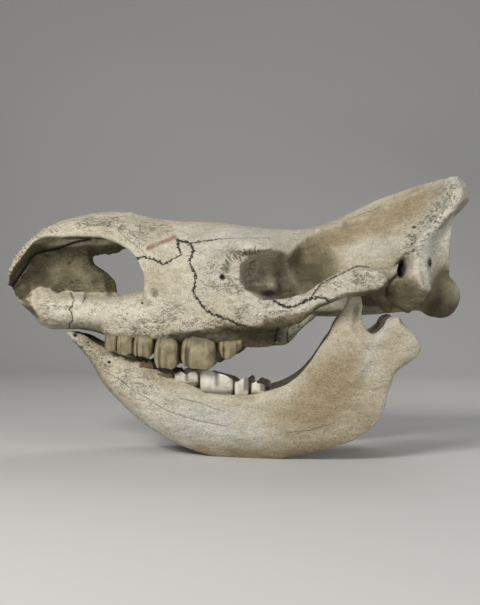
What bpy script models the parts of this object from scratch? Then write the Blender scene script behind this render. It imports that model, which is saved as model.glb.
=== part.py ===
"""Skull of a woolly rhinoceros with its lower jaw, as found: cranium, mandible and twenty-four teeth.

The snout points along -X, the animal's left side faces -Y and +Z is up. The origin lies under the middle of
the skull on the plane that the lower jaw rests on. Lengths in the tables are millimetres and become metres
through MM. Each bone is a set of lofts: a row of a table is one cross section, given by its two end points
and its three half widths, and a cubic curve runs through the rows.
"""

import math

import bmesh
import bpy
import numpy as np

MM = 0.001

# The tables give each point where it appears from the skull's left, five degrees behind its broadside, at
# this distance and height. The middle of the skull's length lies a little behind their zero.
VIEW_TURN = math.radians(5)
VIEW_DISTANCE = 1700.0
VIEW_HEIGHT = 254.0
MIDDLE_SHIFT = 8.0
MIDLINE_ROUNDING = 12.0

# How finely the bones are melted together, in metres, how often and how strongly their creases are
# rounded, and how many triangles each bone keeps
BONE_VOXEL = 0.0036
SOFTEN_PASSES = 8
SOFTEN_SHARE = 0.5
CRANIUM_FACES = 3340
MANDIBLE_FACES = 1150

# Room between a tooth and its socket
SEAT_GAP = 0.4

# Cross sections of each kind of loft and points around a section
MIDLINE_SECTIONS, MIDLINE_AROUND = 24, 28
SIDE_SECTIONS, SIDE_AROUND = 30, 20
STANDING_SECTIONS, STANDING_AROUND = 20, 24
CROSSING_SECTIONS, CROSSING_AROUND = 20, 20
CREST_SECTIONS = 40
ROOF_SECTIONS, ROOF_AROUND = 34, 14
JAW_SECTIONS, JAW_AROUND = 44, 24
BALL_AROUND, BALL_ALONG = 24, 14

# Exponents of the superellipse sections: 1 gives an ellipse, less a squarer outline
LOFT_SQUARE = 0.8
FACE_SQUARE = 0.72
FOREHEAD_SQUARE = 0.55
STANDING_SQUARE = 0.85
SEPTUM_SQUARE = 0.6
ROOF_BULGE = 0.9

# Colours of the bone and the enamel, linear
BONE_PALE = (0.56, 0.50, 0.38, 1.0)
BONE_WARM = (0.50, 0.42, 0.29, 1.0)
ENAMEL = (0.62, 0.54, 0.39, 1.0)
DENTINE = (0.20, 0.12, 0.07, 1.0)
BONE_ROUGHNESS = 0.72
ENAMEL_ROUGHNESS = 0.45

# Rows of the midline lofts: x, top z, low z, half width at the top, in the middle and at the low end
FACE = [
    (-156, 392, 214, 56, 76, 62),
    (-148, 394, 196, 58, 80, 76),
    (-120, 391, 190, 60, 86, 84),
    (-70, 388, 188, 64, 95, 92),
    (-24, 386, 188, 70, 107, 92),
    (8, 380, 190, 76, 122, 80),
    (36, 372, 200, 70, 116, 60),
]
FOREHEAD = [
    (-64, 382, 322, 34, 74, 76),
    (-26, 385, 322, 46, 98, 102),
    (6, 381, 322, 50, 114, 126),
    (40, 377, 322, 50, 112, 128),
    (66, 375, 318, 44, 94, 110),
    (90, 374.5, 326, 38, 74, 88),
    (128, 378, 344, 36, 52, 60),
    (172, 392, 360, 36, 44, 46),
]
BRAINCASE = [
    (30, 350, 232, 40, 50, 34),
    (80, 364, 232, 40, 54, 36),
    (130, 380, 236, 38, 57, 38),
    (170, 395, 238, 38, 61, 42),
    (205, 413, 238, 38, 66, 50),
    (245, 430, 238, 42, 72, 56),
    (285, 444, 240, 54, 80, 60),
    (320, 454, 248, 70, 88, 56),
    (346, 461, 258, 80, 88, 48),
]
ROSTRUM_FLOOR = [
    (-368, 262, 248, 8, 14, 8),
    (-357, 266, 237, 18, 26, 14),
    (-346, 270, 226, 24, 34, 22),
    (-336, 271, 214, 28, 38, 28),
    (-324, 272, 208, 32, 40, 34),
    (-300, 266, 207, 36, 42, 40),
    (-262, 263, 205, 42, 50, 46),
    (-225, 262, 196, 50, 58, 54),
    (-190, 266, 190, 60, 72, 64),
    (-150, 276, 188, 68, 80, 74),
]
SKULL_BASE = [
    (60, 250, 232, 26, 34, 22),
    (120, 262, 228, 28, 36, 24),
    (200, 270, 230, 32, 40, 28),
    (280, 280, 236, 36, 42, 30),
    (330, 290, 240, 34, 40, 26),
]

# Rows of the nasal roof: x, ridge z, margin z, half width, thickness on the ridge, thickness at the margin
NASAL_ROOF = [
    (-391, 292, 272, 14, 18, 14),
    (-386, 310, 282, 32, 22, 15),
    (-374, 331, 302, 50, 23, 14),
    (-357, 349, 323, 63, 23, 13),
    (-340, 365, 346, 70, 23, 12),
    (-323, 378, 356, 74, 24, 11),
    (-289, 393, 357, 76, 24, 11),
    (-255, 401, 358, 77, 24, 11),
    (-221, 404.5, 355, 78, 24, 11),
    (-187, 403, 341, 80, 22, 11),
    (-168, 400, 324, 81, 22, 11),
    (-154, 397, 296, 82, 22, 12),
    (-130, 392, 284, 84, 22, 12),
]

# Rows of the bony septum, by height: z, front x, rear x, half thickness
SEPTUM = [
    (222, -340, -300, 12),
    (244, -360, -226, 13),
    (262, -381, -224, 12),
    (277, -392, -224, 11),
    (290, -394, -226, 10),
    (305, -389, -240, 9),
    (317, -383, -253, 9),
    (327, -377, -253, 9),
    (335, -372, -246, 10),
    (345, -362, -222, 12),
    (360, -350, -170, 14),
]
# Half thickness of the septum in front, in the middle and at its rear edge, as shares
SEPTUM_SHARES = (0.8, 1.0, 0.9)

# Rows of the side lofts, for the animal's left: x, top z, low z, y of the outer face at the top and at the
# low end, thickness at the top, in the middle and at the low end
CHEEK = [
    (-96, 280, 206, 86, 92, 30, 30, 20),
    (-40, 282, 210, 100, 108, 40, 40, 26),
    (-6, 280, 213, 116, 126, 40, 38, 24),
    (12, 270, 212, 124, 136, 26, 32, 22),
    (34, 258, 212, 134, 146, 20, 28, 20),
    (62, 258, 213, 143, 155, 18, 26, 20),
    (86, 262, 217, 150, 162, 18, 24, 20),
    (108, 270, 230, 156, 166, 18, 24, 20),
    (124, 282, 243, 160, 168, 18, 24, 22),
    (142, 293, 251, 162, 168, 20, 26, 24),
    (168, 303, 260, 158, 166, 26, 32, 30),
    (192, 306, 262, 150, 160, 30, 40, 38),
    (214, 306, 270, 140, 148, 30, 40, 38),
    (234, 304, 280, 128, 132, 28, 34, 28),
]
ALVEOLUS = [
    (-226, 236, 198, 50, 57, 30, 30, 22),
    (-204, 234, 194, 58, 66, 34, 34, 26),
    (-170, 236, 192, 68, 77, 40, 42, 30),
    (-140, 236, 190, 76, 84, 46, 48, 36),
    (-100, 232, 186, 84, 90, 50, 54, 42),
    (-60, 226, 187, 90, 95, 52, 56, 44),
    (-30, 222, 182, 92, 95, 52, 54, 40),
    (4, 218, 180, 88, 88, 46, 46, 30),
]
PTERYGOID = [
    (-6, 240, 178, 66, 66, 26, 22, 12),
    (24, 244, 176, 62, 60, 22, 18, 10),
    (54, 246, 177, 56, 52, 20, 14, 9),
    (80, 248, 180, 52, 48, 20, 13, 8),
    (100, 250, 202, 48, 46, 20, 13, 8),
    (130, 252, 228, 46, 44, 20, 14, 10),
]

# Rows of the lofts that stand up, by height: z, front x, rear x, middle y, half widths in front, middle, rear
OCCIPUT = [
    (246, 286, 332, 0, 44, 50, 36),
    (275, 272, 340, 0, 86, 84, 48),
    (302, 258, 341, 0, 112, 100, 50),
    (330, 264, 344, 0, 112, 98, 46),
    (363, 288, 349, 0, 104, 92, 44),
    (388, 308, 357, 0, 99, 88, 46),
    (408, 322, 375, 0, 95, 86, 50),
    (429, 336, 389, 0, 90, 86, 54),
    (439, 342, 384, 0, 84, 80, 52),
    (449, 346, 366, 0, 70, 66, 50),
]
LAMBDOID_RIDGE = [
    (296, 250, 292, -106, 10, 13, 9),
    (314, 256, 292, -108, 10, 12, 9),
    (330, 264, 296, -108, 9, 11, 8),
    (346, 274, 303, -106, 9, 11, 8),
    (364, 289, 317, -103, 9, 11, 8),
    (380, 303, 331, -100, 9, 11, 8),
    (400, 321, 349, -95, 9, 12, 9),
    (425, 334, 366, -87, 10, 14, 10),
    (442, 340, 368, -74, 11, 16, 11),
]
PAROCCIPITAL = [
    (318, 250, 300, -106, 12, 14, 12),
    (296, 238, 308, -109, 14, 18, 14),
    (276, 235, 307, -109, 13, 18, 12),
    (263, 235, 299, -108, 11, 15, 10),
    (252, 238, 288, -107, 10, 13, 9),
    (243, 250, 277, -106, 8, 10, 7),
    (233, 267, 276, -104, 5, 6, 5),
]
POSTGLENOID = [
    (286, 196, 240, -104, 18, 24, 18),
    (262, 206, 242, -102, 16, 20, 16),
    (246, 221, 246, -97, 12, 15, 12),
    (234, 232, 245, -93, 6, 8, 6),
]

# Rows across the skull: y, middle x, top z, low z, half lengths at the top, in the middle and at the low end
SQUAMOSAL = [
    (-40, 226, 384, 244, 40, 46, 40),
    (-62, 224, 352, 250, 40, 46, 40),
    (-84, 220, 326, 256, 40, 44, 40),
    (-108, 216, 309, 262, 36, 42, 38),
    (-134, 206, 304, 266, 28, 38, 34),
    (-152, 196, 302, 268, 20, 30, 26),
]
NUCHAL_CREST = [
    (-94, 344, 430, 408, 9, 12, 10),
    (-84, 348, 444, 408, 12, 16, 14),
    (-62, 352, 456, 418, 13, 19, 16),
    (-42, 354, 461, 420, 12, 20, 18),
    (0, 353, 453, 418, 12, 19, 16),
    (42, 354, 461, 420, 12, 20, 18),
    (62, 352, 456, 418, 13, 19, 16),
    (84, 348, 444, 408, 12, 16, 14),
    (94, 344, 430, 408, 9, 12, 10),
]

# Balls: centre and radii
CONDYLE = ((333, -44, 262), (33, 31, 36))
CONDYLE_NECK = ((312, -38, 270), (36, 28, 34))

# Hollows: centre, radii
ORBIT = ((46, -142, 296), (47, 76, 40))
NASAL_PASSAGE = ((-150, -34, 304), (92, 22, 46))
EAR_OPENING = ((257, -116, 310), (8, 34, 21))
EAR_TILT = math.radians(-25)
NERVE_OPENING = ((-136, -92, 264), (6, 16, 11))
SPINAL_OPENING = ((352, 0, 292), (40, 21, 19))
PALATE_HOLLOW = ((-70, 0, 176), (175, 34, 30))
THROAT_HOLLOW = ((50, 0, 196), (120, 38, 40))

# Rows along half of the lower jaw: upper margin x, z, lower margin x, z, middle y, half widths at the top,
# in the middle and at the low end
JAW_HALF = [
    (-292, 203.5, -292, 199, -14, 5, 6, 5),
    (-268, 200, -276, 183, -20, 10, 14, 10),
    (-238, 184, -250, 154, -27, 13, 18, 14),
    (-204, 167, -226, 116, -34, 16, 22, 17),
    (-168, 155, -188, 78, -42, 18, 25, 19),
    (-132, 139, -148, 45, -50, 20, 27, 20),
    (-96, 124, -98, 18, -56, 21, 28, 20),
    (-52, 106, -48, 1, -62, 22, 28, 19),
    (-2, 101, 6, -3, -71, 21, 28, 18),
    (42, 108, 62, -2, -82, 18, 26, 17),
    (80, 124, 108, 8, -94, 12, 23, 15),
    (108, 152, 152, 20, -104, 9, 19, 14),
    (130, 186, 190, 38, -111, 8, 16, 14),
    (144, 206, 222, 66, -115, 8, 14, 14),
    (152, 222, 233, 102, -117, 8, 13, 13),
    (160, 232, 243, 126, -118, 8, 13, 12),
]
SYMPHYSIS = [
    (-291, 203, 199, 12, 14, 10),
    (-276, 196, 184, 22, 26, 18),
    (-250, 176, 153, 28, 34, 22),
    (-224, 152, 112, 34, 38, 26),
    (-190, 132, 80, 38, 42, 30),
    (-168, 118, 76, 38, 40, 28),
]
# Rows of the rising parts of the jaw, by height: z, front x, rear x, middle y, half widths in front, in the
# middle and at the rear
CORONOID = [
    (182, 132, 230, -113, 7, 12, 10),
    (195, 139, 222, -113, 7, 12, 10),
    (203, 142, 210, -113, 6, 11, 8),
    (210, 145, 202, -113, 6, 10, 6),
    (218, 149, 198, -113, 6, 10, 6),
    (232, 158, 195.5, -114, 5, 8, 5),
    (250, 169, 194, -115, 4, 7, 4),
    (264, 178, 190, -116, 3, 5, 3),
]
JAW_NECK = [
    (118, 184, 237, -118, 12, 14, 12),
    (142, 192, 249, -119, 10, 14, 13),
    (156, 198, 268, -119, 10, 14, 13),
    (168, 203, 284, -120, 9, 14, 13),
    (179, 207, 288, -120, 9, 15, 14),
    (191, 204, 285, -120, 9, 16, 14),
    (200, 208, 281, -119, 9, 17, 15),
    (206, 220, 276, -118, 9, 19, 15),
    (213, 229, 268, -117, 10, 21, 15),
    (219, 232, 259, -115, 11, 24, 14),
    (226, 236, 257, -114, 11, 23, 12),
    (230.5, 242, 254, -114, 8, 17, 8),
]

# Teeth of the animal's left side: first and last x, outer y, breadth, neck z, tip z, root depth, colour
UPPER_TEETH = {
    "P2": (-221.0, -202.0, -61, 24, 195, 170, 16, ENAMEL),
    "P3": (-201.0, -174.0, -69, 33, 193, 165, 18, ENAMEL),
    "P4": (-173.0, -141.5, -77, 39, 192, 160, 18, ENAMEL),
    "M1": (-139.0, -97.5, -85, 46, 187, 142, 18, ENAMEL),
    "M2": (-94.0, -36.0, -91, 50, 188, 143, 20, ENAMEL),
    "M3": (-34.0, 6.0, -90, 42, 183, 158, 16, ENAMEL),
}
LOWER_TEETH = {
    "p2": (-165.0, -141.0, -58, 18, 146, 157.5, 16, DENTINE),
    "p3": (-136.0, -108.0, -64, 22, 130, 139.5, 16, DENTINE),
    "p4": (-106.5, -66.0, -69, 26, 123, 140.5, 18, ENAMEL),
    "m1": (-64.5, -9.5, -75, 28, 108, 141.5, 20, ENAMEL),
    "m2": (-8.0, 15.5, -80, 27, 102, 131, 18, ENAMEL),
    "m3": (19.0, 42.0, -86, 24, 108, 124, 16, ENAMEL),
}
# Levels of a tooth from the root's end to the tip: share of the height, share of the length, of the breadth
TOOTH_LEVELS = [
    (0.00, 0.50, 0.50),
    (0.36, 0.82, 0.80),
    (0.70, 0.99, 0.98),
    (0.95, 1.00, 0.94),
    (1.00, 0.88, 0.78),
]
TOOTH_SIDES = 10
TOOTH_SQUARE = 0.62


def through(rows, count):
    """Blend rows of numbers by a cubic curve through all of them, with even steps along its chords."""
    rows = np.array(rows, float)
    at = np.concatenate([[0.0], np.cumsum(np.linalg.norm(np.diff(rows, axis=0), axis=1))])
    slope = np.gradient(rows, at, axis=0)
    where = np.linspace(0.0, at[-1], count)
    index = np.clip(np.searchsorted(at, where, side="right") - 1, 0, len(at) - 2)
    span = (at[index + 1] - at[index])[:, None]
    part = (where - at[index])[:, None] / span
    start = (1 + 2 * part) * (1 - part) ** 2 * rows[index] + part * (1 - part) ** 2 * span * slope[index]
    end = part**2 * (3 - 2 * part) * rows[index + 1] + part**2 * (part - 1) * span * slope[index + 1]
    return start + end


def signed_power(value, power):
    """Raise the size of a value to a power and keep its sign."""
    return np.sign(value) * np.abs(value) ** power


def stand_true(points):
    """Bring points from where the oblique view shows them to their true places, alike on both sides."""
    x, y, z = (points[..., k] for k in range(3))
    near = (np.hypot(y, MIDLINE_ROUNDING) - MIDLINE_ROUNDING) / VIEW_DISTANCE
    shown = x / (1 - near) / VIEW_DISTANCE
    turned, straight = math.sin(VIEW_TURN), math.cos(VIEW_TURN)
    true_x = (near * turned + shown * (1 - near * straight)) / (straight + shown * turned)
    closer = (1 - near * straight - true_x * turned) / (1 - near)
    return np.stack([true_x * VIEW_DISTANCE + MIDDLE_SHIFT, y, VIEW_HEIGHT + (z - VIEW_HEIGHT) * closer], -1)


def section_rings(top, low, halves, side, square, around):
    """Turn end points and half widths into closed superellipse rings that widen along the side vector."""
    angle = np.linspace(0.0, 2 * math.pi, around, endpoint=False)
    rise = signed_power(np.cos(angle), square)[None, :]
    lean = signed_power(np.sin(angle), square)[None, :]
    high, middle, bottom = (halves[:, k : k + 1] for k in range(3))
    width = middle + (high - bottom) / 2 * rise + ((high + bottom) / 2 - middle) * rise**2
    spine = ((top + low) / 2)[:, None, :] + ((top - low) / 2)[:, None, :] * rise[..., None]
    return spine + (width * lean)[..., None] * np.array(side, float)


def ring_faces(count, around):
    """Quads between neighbouring rings and one cap face at each end."""
    faces = []
    for row in range(count - 1):
        for step in range(around):
            after = (step + 1) % around
            here, there = row * around, (row + 1) * around
            faces.append((here + step, here + after, there + after, there + step))
    faces.append(tuple(reversed(range(around))))
    faces.append(tuple(range((count - 1) * around, count * around)))
    return faces


def solid_from_rings(name, rings, collection, mirrored=False):
    """Make a closed object from rings given in millimetres, with its faces turned outwards."""
    points = stand_true(rings.reshape(-1, 3)) * MM
    if mirrored:
        points = points * (1, -1, 1)
    mesh = bpy.data.meshes.new(name)
    mesh.from_pydata(points.tolist(), [], ring_faces(rings.shape[0], rings.shape[1]))
    shape = bmesh.new()
    shape.from_mesh(mesh)
    bmesh.ops.recalc_face_normals(shape, faces=shape.faces)
    shape.to_mesh(mesh)
    shape.free()
    made = bpy.data.objects.new(name, mesh)
    collection.objects.link(made)
    return made


def midline_loft(name, rows, collection, square=LOFT_SQUARE):
    """Loft along X through rows of x, top z, low z and three half widths, centred on the midline."""
    row = through(rows, MIDLINE_SECTIONS)
    nothing = np.zeros(MIDLINE_SECTIONS)
    top = np.stack([row[:, 0], nothing, row[:, 1]], 1)
    low = np.stack([row[:, 0], nothing, row[:, 2]], 1)
    rings = section_rings(top, low, row[:, 3:6], (0, 1, 0), square, MIDLINE_AROUND)
    return solid_from_rings(name, rings, collection)


def side_lofts(name, rows, collection):
    """Loft along X with its outer face at given y, once for each side of the skull."""
    row = through(rows, SIDE_SECTIONS)
    middle = row[:, 6] / 2
    top = np.stack([row[:, 0], -row[:, 3] + middle, row[:, 1]], 1)
    low = np.stack([row[:, 0], -row[:, 4] + middle, row[:, 2]], 1)
    rings = section_rings(top, low, row[:, 5:8] / 2, (0, 1, 0), LOFT_SQUARE, SIDE_AROUND)
    return both_sides(name, rings, collection)


def standing_loft(rows, square=STANDING_SQUARE):
    """Rings stacked by height through rows of z, front x, rear x, y and three half widths."""
    row = through(rows, STANDING_SECTIONS)
    front = np.stack([row[:, 1], row[:, 3], row[:, 0]], 1)
    rear = np.stack([row[:, 2], row[:, 3], row[:, 0]], 1)
    return section_rings(front, rear, row[:, 4:7], (0, 1, 0), square, STANDING_AROUND)


def crossing_loft(rows, count=CROSSING_SECTIONS):
    """Rings set side by side along Y through rows of y, x, top z, low z and three half lengths."""
    row = through(rows, count)
    top = np.stack([row[:, 1], row[:, 0], row[:, 2]], 1)
    low = np.stack([row[:, 1], row[:, 0], row[:, 3]], 1)
    return section_rings(top, low, row[:, 4:7], (1, 0, 0), LOFT_SQUARE, CROSSING_AROUND)


def both_sides(name, rings, collection):
    """Make a solid and its mirror image across the midline."""
    left = solid_from_rings(name + "_left", rings, collection)
    right = solid_from_rings(name + "_right", rings, collection, mirrored=True)
    return [left, right]


def nasal_roof(collection):
    """Arched shell over the nose: an outer arc and an inner arc joined at the two margins."""
    row = through(NASAL_ROOF, ROOF_SECTIONS)
    x, ridge, margin, half, thick, rim = (row[:, k : k + 1] for k in range(6))
    angle = np.linspace(-math.pi / 2, math.pi / 2, ROOF_AROUND)[None, :]
    arch = np.cos(angle) ** ROOF_BULGE
    outer_y = half * np.sin(angle)
    outer_z = margin + (ridge - margin) * arch
    inner_y = (half - rim) * np.sin(-angle)
    inner_z = margin + (ridge - thick - margin) * arch
    y = np.concatenate([outer_y, inner_y], 1)
    z = np.concatenate([outer_z, inner_z], 1)
    rings = np.stack([np.broadcast_to(x, y.shape), y, z], 2)
    return solid_from_rings("nasal_roof", rings, collection)


def septum(collection):
    """Upright plate on the midline from the snout's tip to its free rear edge."""
    rows = [
        (z, front, rear, 0, *(half * share for share in SEPTUM_SHARES)) for z, front, rear, half in SEPTUM
    ]
    return solid_from_rings("septum", standing_loft(rows, SEPTUM_SQUARE), collection)


def ball(name, centre, radii, collection, tilt=0.0, mirrored=False):
    """Ellipsoid from a sphere primitive, its size and place in its mesh."""
    made = bpy.data.objects.new(name, bpy.data.meshes.new(name))
    shape = bmesh.new()
    bmesh.ops.create_uvsphere(shape, u_segments=BALL_AROUND, v_segments=BALL_ALONG, radius=1.0)
    shape.to_mesh(made.data)
    shape.free()
    count = len(made.data.vertices)
    points = np.empty(count * 3)
    made.data.vertices.foreach_get("co", points)
    points = points.reshape(-1, 3) * radii
    turned = points.copy()
    turned[:, 0] = points[:, 0] * math.cos(tilt) - points[:, 2] * math.sin(tilt)
    turned[:, 2] = points[:, 0] * math.sin(tilt) + points[:, 2] * math.cos(tilt)
    turned = stand_true(turned + centre) * MM
    if mirrored:
        turned[:, 1] *= -1
    made.data.vertices.foreach_set("co", turned.ravel())
    if mirrored:
        made.data.flip_normals()
    collection.objects.link(made)
    return made


def ball_pair(name, place, collection, tilt=0.0):
    """The same ellipsoid on both sides of the midline."""
    centre, radii = place
    left = ball(name + "_left", centre, radii, collection, tilt)
    return [left, ball(name + "_right", centre, radii, collection, tilt, mirrored=True)]


def fuse(name, pieces, collection):
    """Join closed solids into one object and drop the parts."""
    mesh = bpy.data.meshes.new(name)
    shape = bmesh.new()
    for piece in pieces:
        shape.from_mesh(piece.data)
        bpy.data.objects.remove(piece)
    shape.to_mesh(mesh)
    shape.free()
    made = bpy.data.objects.new(name, mesh)
    collection.objects.link(made)
    return made


def apply_modifiers(thing):
    """Put the evaluated mesh in place of the object's own mesh and its modifiers."""
    graph = bpy.context.evaluated_depsgraph_get()
    mesh = bpy.data.meshes.new_from_object(thing.evaluated_get(graph))
    thing.modifiers.clear()
    thing.data = mesh


def grow_together(thing, faces):
    """Melt overlapping solids into one skin, round its creases and thin it to the wanted face count."""
    melt = thing.modifiers.new("melt", "REMESH")
    melt.mode = "VOXEL"
    melt.voxel_size = BONE_VOXEL
    soften = thing.modifiers.new("soften", "SMOOTH")
    soften.factor = SOFTEN_SHARE
    soften.iterations = SOFTEN_PASSES
    apply_modifiers(thing)
    thin = thing.modifiers.new("thin", "DECIMATE")
    thin.ratio = faces / (2 * len(thing.data.polygons))
    thin.use_collapse_triangulate = True
    apply_modifiers(thing)


def as_cutter(thing):
    """Mark an object as a cutter that is drawn in outline only."""
    thing.hide_render = True
    thing.display_type = "WIRE"
    return thing


def cut(thing, cutter):
    """Take a cutter's volume out of an object."""
    step = thing.modifiers.new("cut_" + cutter.name, "BOOLEAN")
    step.operation = "DIFFERENCE"
    step.solver = "EXACT"
    step.object = cutter


def bone_material(name, colour, roughness):
    """Plain material of one colour."""
    material = bpy.data.materials.new(name)
    material.use_nodes = True
    shader = material.node_tree.nodes["Principled BSDF"]
    shader.inputs["Base Color"].default_value = colour
    shader.inputs["Roughness"].default_value = roughness
    shader.inputs["Metallic"].default_value = 0.0
    return material


def tooth_rings(place, swell=0.0):
    """Rings of a tooth from its root's end to its tip, each a rounded box with a waist on its long sides."""
    first, last, outer, breadth, neck, tip, root, _ = place
    angle = np.linspace(0.0, 2 * math.pi, TOOTH_SIDES, endpoint=False)
    along = signed_power(np.cos(angle), TOOTH_SQUARE)
    across = signed_power(np.sin(angle), TOOTH_SQUARE)
    end = neck + math.copysign(root, neck - tip)
    share, length, wide = np.array(TOOTH_LEVELS).T[:, :, None]
    z = end + (tip - end) * share + np.sign(tip - end) * swell * np.sign(share - 0.5)
    x = (first + last) / 2 + ((last - first) / 2 * length + swell) * along
    y = outer + breadth / 2 + (breadth / 2 * wide + swell) * across
    return np.stack([x, y, np.broadcast_to(z, x.shape)], 2)


def add_teeth(bone, prefix, table, bones, cutters):
    """Set a row of teeth on each side and cut their sockets in the bone."""
    for name, place in table.items():
        for side, mirrored in (("left", False), ("right", True)):
            title = f"{prefix}_{name}_{side}"
            tooth = solid_from_rings(title, tooth_rings(place), bones, mirrored)
            tooth.data.materials.append(bone_material(title, place[-1], ENAMEL_ROUGHNESS))
            socket = solid_from_rings(title + "_socket", tooth_rings(place, SEAT_GAP), cutters, mirrored)
            cut(bone, as_cutter(socket))


def make_cranium(bones, cutters):
    """Upper skull: lofts for its regions, melted into one bone with its natural hollows."""
    face = midline_loft("face", FACE, bones, FACE_SQUARE)
    forehead = midline_loft("forehead", FOREHEAD, bones, FOREHEAD_SQUARE)
    cheeks = side_lofts("cheek", CHEEK, bones)
    hollows = ball_pair("orbit", ORBIT, cutters)
    hollows += ball_pair("nerve_opening", NERVE_OPENING, cutters)
    hollows += ball_pair("nasal_passage", NASAL_PASSAGE, cutters)
    hollows.append(ball("palate_hollow", *PALATE_HOLLOW, cutters))
    hollows.append(ball("throat_hollow", *THROAT_HOLLOW, cutters))
    for bone in (face, forehead, *cheeks):
        for hollow in hollows:
            cut(bone, as_cutter(hollow))
        apply_modifiers(bone)
    pieces = [face, forehead, nasal_roof(bones), septum(bones), *cheeks]
    pieces += side_lofts("alveolus", ALVEOLUS, bones)
    pieces.append(midline_loft("braincase", BRAINCASE, bones))
    pieces.append(midline_loft("rostrum_floor", ROSTRUM_FLOOR, bones))
    pieces.append(midline_loft("skull_base", SKULL_BASE, bones))
    pieces += side_lofts("pterygoid", PTERYGOID, bones)
    pieces.append(solid_from_rings("nuchal_crest", crossing_loft(NUCHAL_CREST, CREST_SECTIONS), bones))
    pieces += both_sides("lambdoid_ridge", standing_loft(LAMBDOID_RIDGE), bones)
    pieces += both_sides("paroccipital", standing_loft(PAROCCIPITAL), bones)
    pieces += both_sides("postglenoid", standing_loft(POSTGLENOID), bones)
    pieces += both_sides("squamosal", crossing_loft(SQUAMOSAL), bones)
    pieces += ball_pair("condyle", CONDYLE, bones)
    pieces += ball_pair("condyle_neck", CONDYLE_NECK, bones)
    occiput = solid_from_rings("occiput", standing_loft(OCCIPUT), bones)
    openings = ball_pair("ear_opening", EAR_OPENING, cutters, EAR_TILT)
    openings.append(ball("spinal_opening", *SPINAL_OPENING, cutters))
    cranium = fuse("cranium", [*pieces, occiput], bones)
    grow_together(cranium, CRANIUM_FACES)
    for opening in openings:
        cut(cranium, as_cutter(opening))
    cranium.data.materials.append(bone_material("cranium", BONE_PALE, BONE_ROUGHNESS))
    return cranium


def make_mandible(bones, cutters):
    """Lower jaw: two curved halves joined at the chin, with their rising parts and a flat rest below."""
    row = through(JAW_HALF, JAW_SECTIONS)
    top = np.stack([row[:, 0], row[:, 4], row[:, 1]], 1)
    low = np.stack([row[:, 2], row[:, 4], row[:, 3]], 1)
    halves = section_rings(top, low, row[:, 5:8], (0, 1, 0), STANDING_SQUARE, JAW_AROUND)
    pieces = both_sides("jaw_half", halves, bones)
    pieces.append(midline_loft("symphysis", SYMPHYSIS, bones))
    pieces += both_sides("coronoid", standing_loft(CORONOID), bones)
    pieces += both_sides("jaw_neck", standing_loft(JAW_NECK), bones)
    mandible = fuse("mandible", pieces, bones)
    grow_together(mandible, MANDIBLE_FACES)
    ground = bpy.data.objects.new("ground", bpy.data.meshes.new("ground"))
    shape = bmesh.new()
    bmesh.ops.create_cube(shape, size=1.0)
    shape.to_mesh(ground.data)
    shape.free()
    ground.location = (0, 0, -0.5)
    cutters.objects.link(ground)
    cut(mandible, as_cutter(ground))
    mandible.data.materials.append(bone_material("mandible", BONE_WARM, BONE_ROUGHNESS))
    return mandible


def new_collection(name):
    """Collection in the scene."""
    made = bpy.data.collections.new(name)
    bpy.context.scene.collection.children.link(made)
    return made


def main():
    """Build the skull in an empty scene."""
    for thing in list(bpy.data.objects):
        bpy.data.objects.remove(thing)
    bones = new_collection("woolly_rhinoceros_skull")
    cutters = new_collection("cutters")
    cranium = make_cranium(bones, cutters)
    add_teeth(cranium, "upper", UPPER_TEETH, bones, cutters)
    mandible = make_mandible(bones, cutters)
    add_teeth(mandible, "lower", LOWER_TEETH, bones, cutters)
    for bone in (cranium, mandible):
        bone.data.shade_smooth()


main()
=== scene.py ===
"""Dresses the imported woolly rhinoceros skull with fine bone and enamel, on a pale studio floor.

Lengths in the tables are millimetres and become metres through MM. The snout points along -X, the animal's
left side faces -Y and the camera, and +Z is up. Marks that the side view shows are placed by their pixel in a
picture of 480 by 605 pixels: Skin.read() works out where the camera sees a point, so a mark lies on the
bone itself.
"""

import math

import bmesh
import bpy
import numpy as np
from bpy.props import FloatProperty, FloatVectorProperty, IntProperty, PointerProperty
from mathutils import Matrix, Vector


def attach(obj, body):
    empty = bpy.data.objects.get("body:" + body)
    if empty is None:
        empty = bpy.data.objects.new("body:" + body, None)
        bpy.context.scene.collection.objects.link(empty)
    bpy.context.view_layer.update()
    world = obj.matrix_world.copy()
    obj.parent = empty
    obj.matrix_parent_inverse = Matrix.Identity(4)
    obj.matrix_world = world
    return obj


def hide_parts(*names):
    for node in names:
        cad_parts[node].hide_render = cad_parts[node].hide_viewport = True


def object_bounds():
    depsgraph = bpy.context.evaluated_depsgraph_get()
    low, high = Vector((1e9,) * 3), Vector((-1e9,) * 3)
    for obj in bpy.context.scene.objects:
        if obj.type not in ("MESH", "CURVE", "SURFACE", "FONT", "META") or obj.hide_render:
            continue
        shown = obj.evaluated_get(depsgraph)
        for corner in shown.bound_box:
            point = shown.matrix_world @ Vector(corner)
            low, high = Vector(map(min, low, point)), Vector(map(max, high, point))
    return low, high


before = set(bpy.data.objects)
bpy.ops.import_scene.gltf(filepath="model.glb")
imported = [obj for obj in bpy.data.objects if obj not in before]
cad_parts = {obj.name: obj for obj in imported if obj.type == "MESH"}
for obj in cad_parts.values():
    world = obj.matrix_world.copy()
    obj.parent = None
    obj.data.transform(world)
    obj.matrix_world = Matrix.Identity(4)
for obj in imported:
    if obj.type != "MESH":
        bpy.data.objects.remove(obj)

bl_info = {
    "name": "Fossil woolly rhinoceros skull",
    "version": (1, 0, 0),
    "blender": (4, 5, 0),
    "location": "View3D > Sidebar > Skull",
    "description": "Dresses the skull's frame with fine bone, enamel and a studio floor",
    "category": "Object",
}

MM = 0.001
CAD_BOX = [list(corner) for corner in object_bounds()]

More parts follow.
